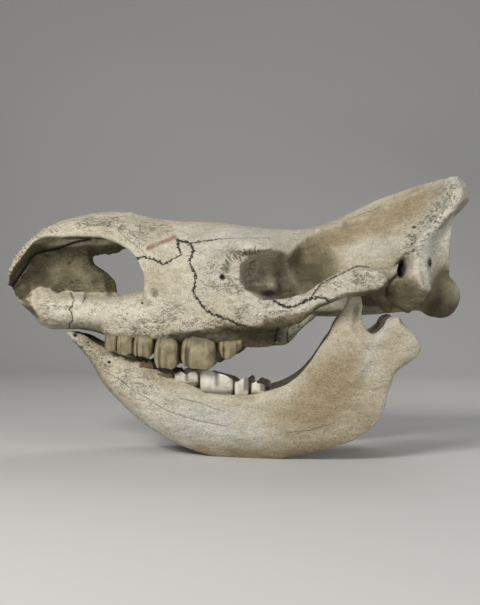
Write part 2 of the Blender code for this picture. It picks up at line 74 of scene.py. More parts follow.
# The camera of the side view: turn behind the broadside, distance, height, millimetres a pixel at that
# distance
EYE_TURN = math.radians(5)
EYE_DISTANCE = 1700.0
EYE_HEIGHT = 254.0
PIXEL = 1.7
CENTRE_COLUMN = 240.0
CENTRE_ROW = 301.0
PICTURE_HEIGHT = 605.0
LENS = 59.5
SENSOR = 36.0

# The middle of the skull's length lies a little behind the tables' zero
MIDDLE_SHIFT = 8.0
MIDLINE_ROUNDING = 12.0

# Rows of the midline lofts: x, top z, low z, half width at the top, in the middle and at the low end
FACE = [
    (-156, 392, 214, 56, 76, 62),
    (-148, 394, 196, 58, 80, 76),
    (-120, 391, 190, 60, 86, 84),
    (-70, 388, 188, 64, 95, 92),
    (-24, 386, 188, 70, 107, 92),
    (8, 380, 190, 76, 122, 80),
    (36, 372, 200, 70, 110, 58),
    (54, 368, 214, 56, 76, 42),
    (70, 364, 226, 44, 52, 34),
]
FOREHEAD = [
    (-64, 382, 322, 34, 74, 76),
    (-26, 385, 322, 46, 98, 102),
    (6, 381, 322, 50, 114, 126),
    (40, 377, 322, 50, 112, 128),
    (66, 375, 318, 44, 94, 110),
    (90, 374.5, 326, 38, 74, 88),
    (128, 378, 344, 36, 52, 60),
    (172, 392, 360, 36, 44, 46),
]
BRAINCASE = [
    (30, 350, 232, 40, 46, 34),
    (80, 364, 232, 40, 54, 36),
    (130, 380, 236, 38, 60, 38),
    (170, 395, 238, 38, 62, 42),
    (205, 413, 238, 38, 66, 50),
    (245, 430, 238, 42, 72, 56),
    (285, 444, 240, 54, 80, 60),
    (320, 454, 248, 70, 88, 56),
    (346, 461, 258, 80, 88, 48),
]
ROSTRUM_FLOOR = [
    (-368, 262, 248, 8, 14, 8),
    (-357, 266, 237, 18, 26, 14),
    (-346, 270, 226, 24, 34, 22),
    (-336, 271, 214, 28, 38, 28),
    (-324, 272, 208, 32, 40, 34),
    (-300, 266, 207, 36, 42, 40),
    (-262, 263, 205, 42, 50, 46),
    (-225, 262, 196, 50, 58, 54),
    (-190, 266, 190, 60, 72, 64),
    (-150, 276, 188, 68, 80, 74),
]
SKULL_BASE = [
    (60, 250, 232, 26, 34, 22),
    (120, 262, 228, 28, 36, 24),
    (200, 270, 230, 32, 40, 28),
    (280, 280, 236, 36, 42, 30),
    (330, 290, 240, 34, 40, 26),
]

# Rows of the nasal roof: x, ridge z, margin z, half width, thickness on the ridge, thickness at the margin
NASAL_ROOF = [
    (-391, 292, 272, 14, 18, 14),
    (-386, 310, 282, 32, 22, 15),
    (-374, 331, 302, 50, 23, 14),
    (-357, 349, 323, 63, 23, 13),
    (-340, 365, 346, 70, 23, 12),
    (-323, 378, 356, 74, 24, 11),
    (-289, 393, 357, 76, 24, 11),
    (-255, 401, 358, 77, 24, 11),
    (-221, 404.5, 355, 78, 24, 11),
    (-187, 403, 341, 80, 22, 11),
    (-168, 400, 324, 81, 22, 11),
    (-154, 397, 296, 82, 22, 12),
    (-130, 392, 284, 84, 22, 12),
]

# Rows of the septum's two plates, by height: z, front x, rear x of the near plate and of the far one, which
# runs on further back, and half the thickness of both together
SEPTUM = [
    (222, -340, -300, -296, 12),
    (244, -360, -226, -212, 13),
    (262, -381, -224, -209, 12),
    (277, -392, -224, -209, 11),
    (290, -394, -226, -212, 10),
    (299, -391, -231, -220, 10),
    (307, -388, -241, -230, 10),
    (317, -383, -253, -246, 10),
    (327, -377, -253, -250, 10),
    (332, -374, -250, -236, 10),
    (336, -372, -246, -206, 10),
    (345, -362, -222, -188, 12),
    (360, -350, -170, -170, 14),
]

# Rows of the side lofts, for the animal's left: x, top z, low z, y of the outer face at the top and at the
# low end, thickness at the top, in the middle and at the low end
CHEEK = [
    (-96, 280, 206, 86, 92, 30, 30, 20),
    (-40, 282, 210, 100, 108, 40, 40, 26),
    (-6, 280, 213, 116, 126, 40, 38, 24),
    (12, 270, 212, 124, 136, 26, 32, 22),
    (34, 258, 212, 134, 146, 20, 28, 20),
    (62, 258, 213, 143, 155, 18, 26, 20),
    (86, 262, 217, 150, 162, 18, 24, 20),
    (108, 270, 230, 156, 166, 18, 24, 20),
    (124, 282, 243, 160, 168, 18, 24, 22),
    (142, 293, 251, 162, 168, 20, 26, 24),
    (168, 303, 260, 158, 166, 26, 32, 30),
    (192, 306, 262, 150, 160, 30, 40, 38),
    (214, 306, 270, 140, 148, 30, 40, 38),
    (234, 304, 280, 128, 132, 28, 34, 28),
]
ALVEOLUS = [
    (-226, 236, 198, 50, 57, 30, 30, 22),
    (-204, 234, 194, 58, 66, 34, 34, 26),
    (-170, 236, 192, 68, 77, 40, 42, 30),
    (-140, 236, 190, 76, 84, 46, 48, 36),
    (-100, 232, 186, 84, 90, 50, 54, 42),
    (-60, 226, 187, 90, 95, 52, 56, 44),
    (-30, 222, 182, 92, 95, 52, 54, 40),
    (4, 218, 180, 86, 86, 46, 46, 30),
    (28, 222, 181, 66, 62, 28, 24, 14),
]
PTERYGOID = [
    (-6, 240, 178, 66, 66, 26, 22, 12),
    (24, 244, 176, 62, 60, 22, 18, 10),
    (54, 246, 177, 56, 52, 20, 14, 9),
    (80, 248, 180, 52, 48, 20, 13, 8),
    (100, 250, 202, 48, 46, 20, 13, 8),
    (130, 252, 228, 46, 44, 20, 14, 10),
]

# Rows of the lofts that stand up, by height: z, front x, rear x, middle y, half widths in front, middle, rear
OCCIPUT = [
    (246, 286, 332, 0, 44, 50, 36),
    (275, 272, 340, 0, 86, 84, 48),
    (302, 258, 341, 0, 112, 102, 54),
    (330, 264, 344, 0, 112, 104, 58),
    (363, 288, 349, 0, 104, 99, 58),
    (388, 308, 357, 0, 99, 95, 60),
    (408, 322, 375, 0, 95, 91, 60),
    (429, 336, 389, 0, 90, 86, 54),
    (439, 342, 384, 0, 84, 80, 52),
    (449, 346, 366, 0, 70, 66, 50),
]
LAMBDOID_RIDGE = [
    (296, 250, 292, -106, 10, 13, 9),
    (314, 256, 292, -108, 10, 12, 9),
    (330, 264, 296, -108, 9, 11, 8),
    (346, 274, 303, -106, 9, 11, 8),
    (364, 289, 317, -103, 9, 11, 8),
    (380, 303, 331, -100, 9, 11, 8),
    (400, 321, 349, -95, 9, 12, 9),
    (425, 334, 366, -87, 10, 14, 10),
    (442, 340, 368, -74, 11, 16, 11),
]
PAROCCIPITAL = [
    (318, 250, 300, -106, 12, 14, 12),
    (296, 238, 308, -109, 14, 18, 14),
    (276, 235, 307, -109, 13, 18, 12),
    (263, 235, 299, -108, 11, 15, 10),
    (252, 238, 288, -107, 10, 13, 9),
    (243, 250, 277, -106, 8, 10, 7),
    (233, 267, 276, -104, 5, 6, 5),
]
POSTGLENOID = [
    (286, 196, 240, -104, 18, 24, 18),
    (262, 206, 242, -102, 16, 20, 16),
    (246, 221, 246, -97, 12, 15, 12),
    (234, 232, 245, -93, 6, 8, 6),
]
TEMPLE_WALL = [
    (236, 108, 190, -38, 12, 18, 14),
    (262, 96, 190, -42, 14, 21, 16),
    (290, 84, 180, -43, 15, 22, 16),
    (318, 74, 170, -43, 16, 22, 16),
    (342, 66, 160, -42, 16, 20, 14),
]

# Rows across the skull: y, middle x, top z, low z, half lengths at the top, in the middle and at the low end
SQUAMOSAL = [
    (-40, 222, 366, 244, 66, 70, 40),
    (-62, 222, 340, 250, 58, 62, 40),
    (-84, 219, 318, 256, 46, 52, 40),
    (-108, 216, 306, 262, 36, 43, 38),
    (-134, 206, 304, 266, 28, 38, 34),
    (-152, 196, 302, 268, 20, 30, 26),
]
NUCHAL_CREST = [
    (-94, 344, 430, 408, 9, 12, 10),
    (-84, 348, 444, 408, 12, 16, 14),
    (-62, 352, 456, 418, 13, 19, 16),
    (-42, 354, 461, 420, 12, 20, 18),
    (0, 353, 453, 418, 12, 19, 16),
    (42, 354, 461, 420, 12, 20, 18),
    (62, 352, 456, 418, 13, 19, 16),
    (84, 348, 444, 408, 12, 16, 14),
    (94, 344, 430, 408, 9, 12, 10),
]

# Balls and hollows: centre, radii
CONDYLE = ((333, -44, 262), (33, 31, 36))
CONDYLE_NECK = ((312, -38, 270), (36, 28, 34))
ORBIT = ((52, -142, 297), (56, 94, 39.5))
ORBIT_RIM = ((51, -150, 296.5), (58, 84, 41))
NASAL_PASSAGE = ((-150, -34, 304), (92, 22, 46))
EAR_OPENING = ((264, -116, 310), (9, 66, 25))
EAR_TILT = math.radians(-25)
NERVE_OPENING = ((-136, -92, 264), (8.5, 15, 13))
SPINAL_OPENING = ((352, 0, 292), (40, 21, 19))
PALATE_HOLLOW = ((-70, 0, 176), (175, 34, 30))
THROAT_HOLLOW = ((50, 0, 196), (120, 38, 40))

# Rows along half of the lower jaw: upper margin x, z, lower margin x, z, middle y, half widths up, middle,
# low
JAW_HALF = [
    (-292, 203.5, -292, 199, -14, 5, 6, 5),
    (-268, 200, -276, 183, -20, 10, 14, 10),
    (-238, 184, -250, 154, -27, 13, 18, 14),
    (-204, 167, -226, 116, -34, 16, 22, 17),
    (-168, 155, -188, 78, -42, 18, 25, 19),
    (-132, 139, -148, 45, -50, 20, 27, 20),
    (-96, 124, -98, 18, -56, 21, 28, 20),
    (-52, 106, -48, 1, -62, 22, 28, 19),
    (-2, 101, 6, -3, -71, 21, 28, 18),
    (42, 108, 62, -2, -82, 18, 26, 17),
    (80, 124, 108, 8, -94, 12, 23, 15),
    (108, 152, 152, 20, -104, 9, 19, 14),
    (130, 186, 190, 38, -111, 8, 16, 14),
    (144, 206, 222, 66, -115, 8, 14, 14),
    (152, 222, 233, 102, -117, 8, 13, 13),
    (160, 232, 243, 126, -118, 8, 13, 12),
]
SYMPHYSIS = [
    (-291, 203, 199, 12, 14, 10),
    (-276, 196, 184, 22, 26, 18),
    (-250, 176, 153, 28, 34, 22),
    (-224, 152, 112, 34, 38, 26),
    (-190, 132, 80, 38, 42, 30),
    (-168, 118, 76, 38, 40, 28),
]
# Rows of the rising parts of the jaw, by height: z, front x, rear x, middle y, half widths front, middle,
# rear
CORONOID = [
    (182, 132, 230, -113, 7, 12, 10),
    (195, 139, 222, -113, 7, 12, 10),
    (203, 142, 210, -113, 6, 11, 8),
    (210, 145, 202, -113, 6, 10, 6),
    (218, 149, 198, -113, 6, 10, 6),
    (232, 158, 195.5, -114, 5, 8, 5),
    (250, 167, 196, -115, 6, 8, 6),
    (262, 172, 193, -116, 5, 7, 5),
    (272, 177, 188, -116, 4, 6, 4),
]
JAW_NECK = [
    (118, 184, 237, -118, 12, 14, 12),
    (142, 192, 249, -119, 10, 14, 13),
    (156, 198, 268, -119, 10, 14, 13),
    (168, 203, 284, -120, 9, 14, 13),
    (179, 207, 288, -120, 9, 15, 14),
    (191, 204, 285, -120, 9, 16, 14),
    (200, 208, 281, -119, 9, 17, 15),
    (206, 220, 276, -118, 9, 19, 15),
    (213, 229, 268, -117, 10, 21, 15),
    (219, 232, 259, -115, 11, 24, 14),
    (226, 236, 257, -114, 11, 23, 12),
    (230.5, 242, 254, -114, 8, 17, 8),
]

# Seams and cracks in pixels of the side view. The bands of |y| say which wall of the bone a mark lies on.
NASAL_SEAM = [
    (136, 259), (143, 257), (150, 258.5), (156, 260), (161, 263), (163, 264), (168, 262), (173, 259),
    (178, 257),
    (181, 255), (180, 250), (178, 247), (178, 243), (177, 241), (181, 241), (186, 242), (190, 244),
    (193, 248),
    (194, 251), (192, 254), (190, 260), (190, 264), (192, 268), (195, 274), (196, 277), (195, 281),
    (195, 286),
    (193, 290), (195, 296), (199, 302), (203, 307), (208, 312), (214, 315), (220, 317), (232, 321),
    (238, 325),
    (245, 326),
]
FRONTAL_SEAM = [(190, 244), (197, 242), (203, 241), (210, 240.5), (220, 239), (236, 238), (270, 238)]
TEAR_SEAM = [(196, 277), (200, 280), (203, 283), (208, 286), (220, 287), (228, 286), (236, 286)]
CHEEK_SEAM = [
    (273, 300), (278, 303), (284, 306), (290, 307), (296, 306), (302, 303), (308, 300), (313, 298),
    (320, 297.5),
    (325, 298), (328, 301),
]
CHEEK_BRANCH = [(311, 298), (314, 293), (318, 288), (320, 285)]
TEMPLE_SEAM = [(320, 285), (328, 280), (336, 276), (345, 272), (352, 268), (360, 266), (368, 267)]
CREST_LINE = [(350, 219), (360, 215), (372, 211), (380, 206)]
SNOUT_SEAM = [
    (71, 294), (74, 300), (72, 306), (69, 310), (73, 316), (73, 320), (70, 324), (69, 328),
]
ROOF_CRACKS = [
    [(110, 225), (118, 227), (125, 231), (136, 237), (146, 241)],
    [(118, 230), (124, 236), (132, 243), (139, 248), (146, 255)],
    [(122, 226), (131, 231), (141, 233)],
]
PALATE_CRACKS = [[(278, 329), (276, 336), (274, 343)], [(289, 327), (287, 336), (288, 344)]]
JAW_CRACK = [(138, 393), (150, 400), (160, 407), (170, 412), (185, 417), (200, 421), (225, 426)]
JAW_CRACKS = [
    [(100, 369), (112, 375), (122, 381), (131, 389)],
    [(226, 405), (233, 406.5), (239, 405)],
    [(288, 433), (310, 430), (332, 424)],
    [(180, 398), (200, 403), (222, 411)],
]

# The crease between the septum and the underside of the nasal roof
ROOF_CREASE = [
    (9, 290), (16, 281), (20, 275), (25, 268), (30, 259), (35, 254), (40, 252), (50, 250), (60, 248),
    (70, 244),
    (80, 241), (90, 239),
]
# The upper edge of the bone in front of the nose: columns and rows of the side view
PROW_EDGE = [
    (10, 290), (20, 299), (29, 306), (31.5, 299), (33, 292), (40, 287), (50, 289), (58, 294), (68, 290.5),
    (76, 292.5),
    (150, 292),
]
# The band of rough bone between the temple and the back of the skull
NUCHAL_BAND = [(453, 186), (444, 208), (432, 222), (418, 238), (408, 252)]

# Round openings in pixels: column, row, radius across and along the height, depth in millimetres, least |y|
SMALL_HOLES = [
    (222, 277, 2.3, 2.5, 10, 60),
    (142, 303, 1.1, 0.9, 4, 50),
    (127, 314, 0.8, 0.8, 3, 50),
    (430, 263, 1.5, 4.2, 7, 40),
    (414, 227, 1.7, 1.0, 5, 40),
    (409, 235, 0.8, 0.8, 4, 40),
]
JAW_HOLES = [(109, 362, 1.7, 1.2, 6, 20), (88, 342, 1.0, 0.8, 4, 10), (75, 335, 2.0, 1.6, 4, 0)]


def through(rows, count):
    """Blend rows of numbers by a cubic curve through all of them, with even steps along its chords."""
    rows = np.array(rows, float)
    at = np.concatenate([[0.0], np.cumsum(np.linalg.norm(np.diff(rows, axis=0), axis=1))])
    slope = np.gradient(rows, at, axis=0)
    where = np.linspace(0.0, at[-1], count)
    index = np.clip(np.searchsorted(at, where, side="right") - 1, 0, len(at) - 2)
    span = (at[index + 1] - at[index])[:, None]
    part = (where - at[index])[:, None] / span
    start = (1 + 2 * part) * (1 - part) ** 2 * rows[index] + part * (1 - part) ** 2 * span * slope[index]
    end = part**2 * (3 - 2 * part) * rows[index + 1] + part**2 * (part - 1) * span * slope[index + 1]
    return start + end


def signed_power(value, power):
    """Raise the size of a value to a power and keep its sign."""
    return np.sign(value) * np.abs(value) ** power


def stand_true(points):
    """Bring points from where the side view's camera shows them to their true places, alike on both sides:
    each keeps its distance from the midline and moves until the camera sees it where the tables have it."""
    x, y, z = (points[..., k] for k in range(3))
    near = (np.hypot(y, MIDLINE_ROUNDING) - MIDLINE_ROUNDING) / EYE_DISTANCE
    shown = x / (1 - near) / EYE_DISTANCE
    turned, straight = math.sin(EYE_TURN), math.cos(EYE_TURN)
    true_x = (near * turned + shown * (1 - near * straight)) / (straight + shown * turned)
    closer = (1 - near * straight - true_x * turned) / (1 - near)
    return np.stack([true_x * EYE_DISTANCE + MIDDLE_SHIFT, y, EYE_HEIGHT + (z - EYE_HEIGHT) * closer], -1)


def section_rings(top, low, halves, side, square, around):
    """Rings: spine point = middle + half height * cos(a)^square, plus side * half width * sin(a)^square,
    where the half width is the parabola in height through its values at the top, in the middle and at the
    low end."""
    angle = np.linspace(0.0, 2 * math.pi, around, endpoint=False)
    rise = signed_power(np.cos(angle), square)[None, :]
    lean = signed_power(np.sin(angle), square)[None, :]
    high, middle, bottom = (halves[:, k : k + 1] for k in range(3))
    width = middle + (high - bottom) / 2 * rise + ((high + bottom) / 2 - middle) * rise**2
    spine = ((top + low) / 2)[:, None, :] + ((top - low) / 2)[:, None, :] * rise[..., None]
    return spine + (width * lean)[..., None] * np.array(side, float)


def ring_faces(count, around):
    """Quads between neighbouring rings and one cap face at each end."""
    row = np.arange(count - 1)[:, None] * around
    step = np.arange(around)[None, :]
    after = (step + 1) % around
    quads = np.stack([row + step, row + after, row + around + after, row + around + step], 2).reshape(-1, 4)
    caps = [tuple(reversed(range(around))), tuple(range((count - 1) * around, count * around))]
    return [tuple(face) for face in quads.tolist()] + caps


def solid_from_rings(name, rings, mirrored=False):
    """Closed object from rings in millimetres, with its faces turned outwards."""
    points = stand_true(rings.reshape(-1, 3)) * MM
    if mirrored:
        points = points * (1, -1, 1)
    mesh = bpy.data.meshes.new(name)
    mesh.from_pydata(points.tolist(), [], ring_faces(rings.shape[0], rings.shape[1]))
    shape = bmesh.new()
    shape.from_mesh(mesh)
    bmesh.ops.recalc_face_normals(shape, faces=shape.faces)
    shape.to_mesh(mesh)
    shape.free()
    made = bpy.data.objects.new(name, mesh)
    bpy.context.scene.collection.objects.link(made)
    return made


def both_sides(name, rings):
    """A solid and its mirror image across the midline."""
    return [solid_from_rings(name + "_left", rings), solid_from_rings(name + "_right", rings, mirrored=True)]


def midline_loft(name, rows, square=0.8, count=70, around=72):
    """Loft along X through rows of x, top z, low z and three half widths, centred on the midline."""
    row = through(rows, count)
    nothing = np.zeros(count)
    top = np.stack([row[:, 0], nothing, row[:, 1]], 1)
    low = np.stack([row[:, 0], nothing, row[:, 2]], 1)
    return solid_from_rings(name, section_rings(top, low, row[:, 3:6], (0, 1, 0), square, around))


def side_lofts(name, rows, square=0.8, count=90, around=48):
    """Loft along X with its outer face at given y, once for each side of the skull."""
    row = through(rows, count)
    middle = row[:, 6] / 2
    top = np.stack([row[:, 0], -row[:, 3] + middle, row[:, 1]], 1)
    low = np.stack([row[:, 0], -row[:, 4] + middle, row[:, 2]], 1)
    return both_sides(name, section_rings(top, low, row[:, 5:8] / 2, (0, 1, 0), square, around))


def standing_loft(rows, square=0.85, count=60, around=56):
    """Rings stacked by height through rows of z, front x, rear x, y and three half widths."""
    row = through(rows, count)
    front = np.stack([row[:, 1], row[:, 3], row[:, 0]], 1)
    rear = np.stack([row[:, 2], row[:, 3], row[:, 0]], 1)
    return section_rings(front, rear, row[:, 4:7], (0, 1, 0), square, around)


def crossing_loft(rows, square=0.8, count=80, around=48):
    """Rings set side by side along Y through rows of y, x, top z, low z and three half lengths."""
    row = through(rows, count)
    top = np.stack([row[:, 1], row[:, 0], row[:, 2]], 1)
    low = np.stack([row[:, 1], row[:, 0], row[:, 3]], 1)
    return section_rings(top, low, row[:, 4:7], (1, 0, 0), square, around)


def nasal_roof(around=48, count=110):
    """Arched shell over the nose: y = half width * sin(a) and z = margin + rise * cos(a)^bulge, out and
    back."""
    bulge = 0.9
    row = through(NASAL_ROOF, count)
    x, ridge, margin, half, thick, rim = (row[:, k : k + 1] for k in range(6))
    angle = np.linspace(-math.pi / 2, math.pi / 2, around)[None, :]
    arch = np.clip(np.cos(angle), 0, 1) ** bulge
    y = np.concatenate([half * np.sin(angle), (half - rim) * np.sin(-angle)], 1)
    z = np.concatenate([margin + (ridge - margin) * arch, margin + (ridge - thick - margin) * arch], 1)
    return solid_from_rings("nasal_roof", np.stack([np.broadcast_to(x, y.shape), y, z], 2))


def ball(name, place, tilt=0.0, mirrored=False):
    """Ellipsoid: rings of radius sin(b) at cos(b) along its height, turned by a tilt about the Y axis."""
    centre, radii = place
    rise, around = np.meshgrid(np.linspace(0.04, math.pi - 0.04, 28), np.linspace(0, 2 * math.pi, 48, False),
                               indexing="ij")
    x = radii[0] * np.sin(rise) * np.cos(around)
    y = radii[1] * np.sin(rise) * np.sin(around)
    z = radii[2] * np.cos(rise)
    turned = np.stack([x * math.cos(tilt) - z * math.sin(tilt), y, x * math.sin(tilt) + z * math.cos(tilt)],
                      2)
    return solid_from_rings(name, turned + np.array(centre, float), mirrored)


def ball_pair(name, place, tilt=0.0):
    """The same ellipsoid on both sides of the midline."""
    return [ball(name + "_left", place, tilt), ball(name + "_right", place, tilt, mirrored=True)]


def fuse(name, pieces):
    """Join closed solids into one object and drop the parts."""
    mesh = bpy.data.meshes.new(name)
    shape = bmesh.new()
    for piece in pieces:
        shape.from_mesh(piece.data)
        bpy.data.objects.remove(piece)
    shape.to_mesh(mesh)
    shape.free()
    made = bpy.data.objects.new(name, mesh)
    bpy.context.scene.collection.objects.link(made)
    return made


def apply_modifiers(thing):
    """Put the evaluated mesh in place of the object's own mesh and its modifiers."""
    graph = bpy.context.evaluated_depsgraph_get()
    mesh = bpy.data.meshes.new_from_object(thing.evaluated_get(graph))
    thing.modifiers.clear()
    thing.data = mesh


def take_out(thing, cutters):
    """Cut hollows out of one solid."""
    for number, cutter in enumerate(cutters):
        step = thing.modifiers.new(f"cut_{number}", "BOOLEAN")
        step.operation = "DIFFERENCE"
        step.solver = "EXACT"
        step.object = cutter
    apply_modifiers(thing)


def melt(thing, grid, reach):
    """Melt overlapping solids into one skin on a grid and round its creases over a reach, both in metres."""
    skin = thing.modifiers.new("melt", "REMESH")
    skin.mode = "VOXEL"
    skin.voxel_size = grid
    soften = thing.modifiers.new("soften", "SMOOTH")
    soften.factor = 0.5
    soften.iterations = max(1, round((reach / grid) ** 2))
    apply_modifiers(thing)


def thin(thing, triangles):
    """Bring a mesh down to a number of triangles, most of them kept where it bends."""
    count = sum(len(face.vertices) - 2 for face in thing.data.polygons)
    if count > triangles:
        step = thing.modifiers.new("thin", "DECIMATE")
        step.ratio = triangles / count
        apply_modifiers(thing)


def lumps(points, size, seed):
    """Value noise from -1 to 1: random numbers on a cubic lattice of that size, blended by a smooth step."""
    place = points / size + seed * 7.31
    cell = np.floor(place)
    part = place - cell
    part = part * part * (3 - 2 * part)
    cell = cell.astype(np.int64)
    total = np.zeros(len(points))
    for corner in np.ndindex(2, 2, 2):
        key = cell + np.array(corner)
        mixed = (key[:, 0] * 73856093) ^ (key[:, 1] * 19349663) ^ (key[:, 2] * 83492791) ^ (seed * 2654435)
        mixed = (mixed ^ (mixed >> 13)) * 1274126177 & 0x7FFFFFFF
        value = ((mixed ^ (mixed >> 16)) & 0xFFFF) / 32767.5 - 1
        weight = np.prod(np.where(np.array(corner) == 1, part, 1 - part), axis=1)
        total += weight * value
    return total


def rough(points, size, seed, octaves=3):
    """Several sizes of noise, each half as large and half as strong as the one before."""
    return sum(lumps(points, size / 2**k, seed + k) / 2**k for k in range(octaves))


def step_between(value, low, high):
    """0 below low, 1 above high and a smooth rise between; falls instead where low is the larger."""
    part = np.clip((value - low) / (high - low), 0, 1)
    return part * part * (3 - 2 * part)


def hold_inside(points):
    """Bend points in millimetres that come close to the frame's box back inside it, and keep them off the
    floor."""
    low, high = (np.array(corner) / MM for corner in CAD_BOX)
    room = np.array((2.0, 2.0, 2.0))
    over = np.maximum(points - (high - room), 0)
    under = np.maximum((low + room) - points, 0) * (1, 1, 0)
    inside = points - over + under + room * (np.expm1(-under / room) - np.expm1(-over / room))
    inside[:, 2] = np.maximum(inside[:, 2], 0.002)
    return inside


# Millimetres from a line beyond which it no longer counts
FAR_AWAY = 30.0


class Skin:
    """The vertices of one bone as arrays, with where the camera sees them and their places in the tables."""

    def __init__(self, thing):
        self.mesh = thing.data
        self.read()

    def read(self):
        """Take points and normals from the mesh, in millimetres, and place them in the side view."""
        count = len(self.mesh.vertices)
        flat = np.empty(count * 3)
        self.mesh.vertices.foreach_get("co", flat)
        self.points = flat.reshape(-1, 3) / MM
        self.mesh.vertex_normals.foreach_get("vector", flat)
        self.normals = flat.reshape(-1, 3).copy()
        depth = np.abs(self.points[:, 1])
        self.depth = depth
        ahead = self.points[:, 0] - MIDDLE_SHIFT
        turned, straight = math.sin(EYE_TURN), math.cos(EYE_TURN)
        self.size = PIXEL * (1 - (depth * straight + ahead * turned) / EYE_DISTANCE)
        self.column = CENTRE_COLUMN + (ahead * straight - depth * turned) / self.size
        self.row = CENTRE_ROW - (self.points[:, 2] - EYE_HEIGHT) / self.size
        shown = PIXEL * (1 - depth / EYE_DISTANCE)
        table_x, table_z = (self.column - CENTRE_COLUMN) * shown, EYE_HEIGHT + (CENTRE_ROW - self.row) * shown
        self.places = np.stack([table_x, self.points[:, 1], table_z], 1)
        self.outward = self.normals[:, 1] * np.sign(self.points[:, 1])

    def write(self):
        """Put the points back into the mesh and read the normals again."""
        self.mesh.vertices.foreach_set("co", (self.points * MM).ravel())
        self.mesh.update()
        self.read()

    def wall(self, least, most=400, facing=0.1):
        """1 on surfaces that face away from the midline between two distances from it."""
        return (
            step_between(self.depth, least - 3, least + 3)
            * step_between(self.depth, most + 3, most - 3)
            * step_between(self.outward, facing - 0.15, facing + 0.15)
        )

    def raise_by(self, height):
        """Move every point along its normal by a height in millimetres."""
        self.points = self.points + self.normals * np.asarray(height)[:, None]

    def from_line(self, line):
        """Distance to a polyline of the side view in millimetres, with the sign of the side it lies on."""
        line = np.array(line, float)
        best = np.full(len(self.points), 1e9)
        side = np.ones(len(self.points))
        margin = 14
        low, high = line.min(0) - margin, line.max(0) + margin
        near = np.flatnonzero(
            (self.column > low[0]) & (self.column < high[0]) & (self.row > low[1]) & (self.row < high[1])
        )
        spot = np.stack([self.column[near], self.row[near]], 1)
        for start, end in zip(line[:-1], line[1:]):
            along = end - start
            share = np.clip((spot - start) @ along / (along @ along), 0, 1)
            away = spot - start - share[:, None] * along
            far = np.linalg.norm(away, axis=1)
            closer = far < best[near]
            best[near[closer]] = far[closer]
            turn = along[0] * away[:, 1] - along[1] * away[:, 0]
            side[near[closer]] = np.where(turn[closer] >= 0, 1, -1)
        return np.minimum(best * self.size, FAR_AWAY), side

    def stroke(self, line, width):
        """A bell across a polyline: exp(-(distance / width)^2)."""
        far, _ = self.from_line(line)
        return np.exp(-((far / width) ** 2))

    def spot(self, column, row, across, along, turn=0.0):
        """A bell round a pixel of the side view: exp(-(distance / radius)^2), turned by degrees."""
        angle = math.radians(turn)
        right, down = self.column - column, self.row - row
        first = (right * math.cos(angle) + down * math.sin(angle)) / across
        second = (down * math.cos(angle) - right * math.sin(angle)) / along
        return np.exp(-(first**2 + second**2))

    def neighbours(self):
        """Both ends of every edge."""
        flat = np.empty(len(self.mesh.edges) * 2, np.int32)
        self.mesh.edges.foreach_get("vertices", flat)
        return flat.reshape(-1, 2)

    def smoothed(self, passes, weight=1.0):
        """The points drawn halfway towards the middle of their neighbours, times a weight, again and
        again."""
        ends = self.neighbours()
        count = len(self.points)
        degree = np.bincount(ends.ravel(), minlength=count)[:, None]
        pull = 0.5 * np.reshape(weight, (-1, 1))
        smooth = self.points.copy()
        for _ in range(passes):
            total = np.empty_like(smooth)
            for axis in range(3):
                total[:, axis] = np.bincount(ends[:, 0], smooth[ends[:, 1], axis], count)
                total[:, axis] += np.bincount(ends[:, 1], smooth[ends[:, 0], axis], count)
            smooth = smooth + pull * (total / degree - smooth)
        return smooth

    def hollowness(self, passes):
        """How far the surface lies below its own smoothed form, in millimetres, after some smoothing
        passes."""
        return np.einsum("ij,ij->i", self.smoothed(passes) - self.points, self.normals)

    def soften(self, weight, passes):
        """Smooth the points themselves, by a weight for each."""
        self.points = self.smoothed(passes, weight)

    def within(self, bounds):
        """1 inside soft bounds, 0 outside them and a smooth change between."""
        x, _, z = self.places.T
        back, _, up = self.normals.T
        measures = {
            "x": x, "z": z, "depth": self.depth, "column": self.column, "row": self.row,
            "outward": self.outward, "up": up, "backward": back,
            "up_front": up - back, "up_out": up + self.outward * 0.5,
        }
        inside = np.ones(len(self.points))
        for measure, pairs in bounds.items():
            for none, full in pairs:
                inside = inside * step_between(measures[measure], none, full)
        return inside

    def patch(self, wall, place, bounds=None):
        """A bell on one wall and inside soft bounds: a stroke where the place starts with a line, else a
        spot."""
        bell = self.stroke(*place) if np.ndim(place[0]) else self.spot(*place)
        if wall:
            bell = bell * self.wall(*wall)
        return bell * self.within(bounds) if bounds else bell

    def patches(self, rows):
        """Sum of the patches of a table, each times its strength."""
        return sum(strength * self.patch(*row) for strength, *row in rows.values())

    def store(self, name, values):
        """Keep one number a vertex for the materials."""
        layer = self.mesh.attributes.new(name, "FLOAT", "POINT")
        layer.data.foreach_set("value", np.asarray(values, np.float32))


def seam_layers(skin, groups):
    """Signed distance to the nearest seam of a group and how near any seam of it is, kept as attributes."""
    for name, lines in groups.items():
        far = np.full(len(skin.points), FAR_AWAY)
        side = np.ones(len(skin.points))
        for line, wall in lines:
            here, turned = skin.from_line(line)
            here = np.where(skin.wall(*wall) > 0.3, here, FAR_AWAY)
            closer = here < far
            far[closer] = here[closer]
            side[closer] = turned[closer]
        skin.store(name, far * side)
        skin.store(name + "_near", far)


def above_prow(skin):
    """1 above the upper edge of the bone in front of the nose and 0 below it."""
    columns, rows = zip(*PROW_EDGE)
    return step_between(np.interp(skin.column, columns, rows) - skin.row, -1.0, 1.0)


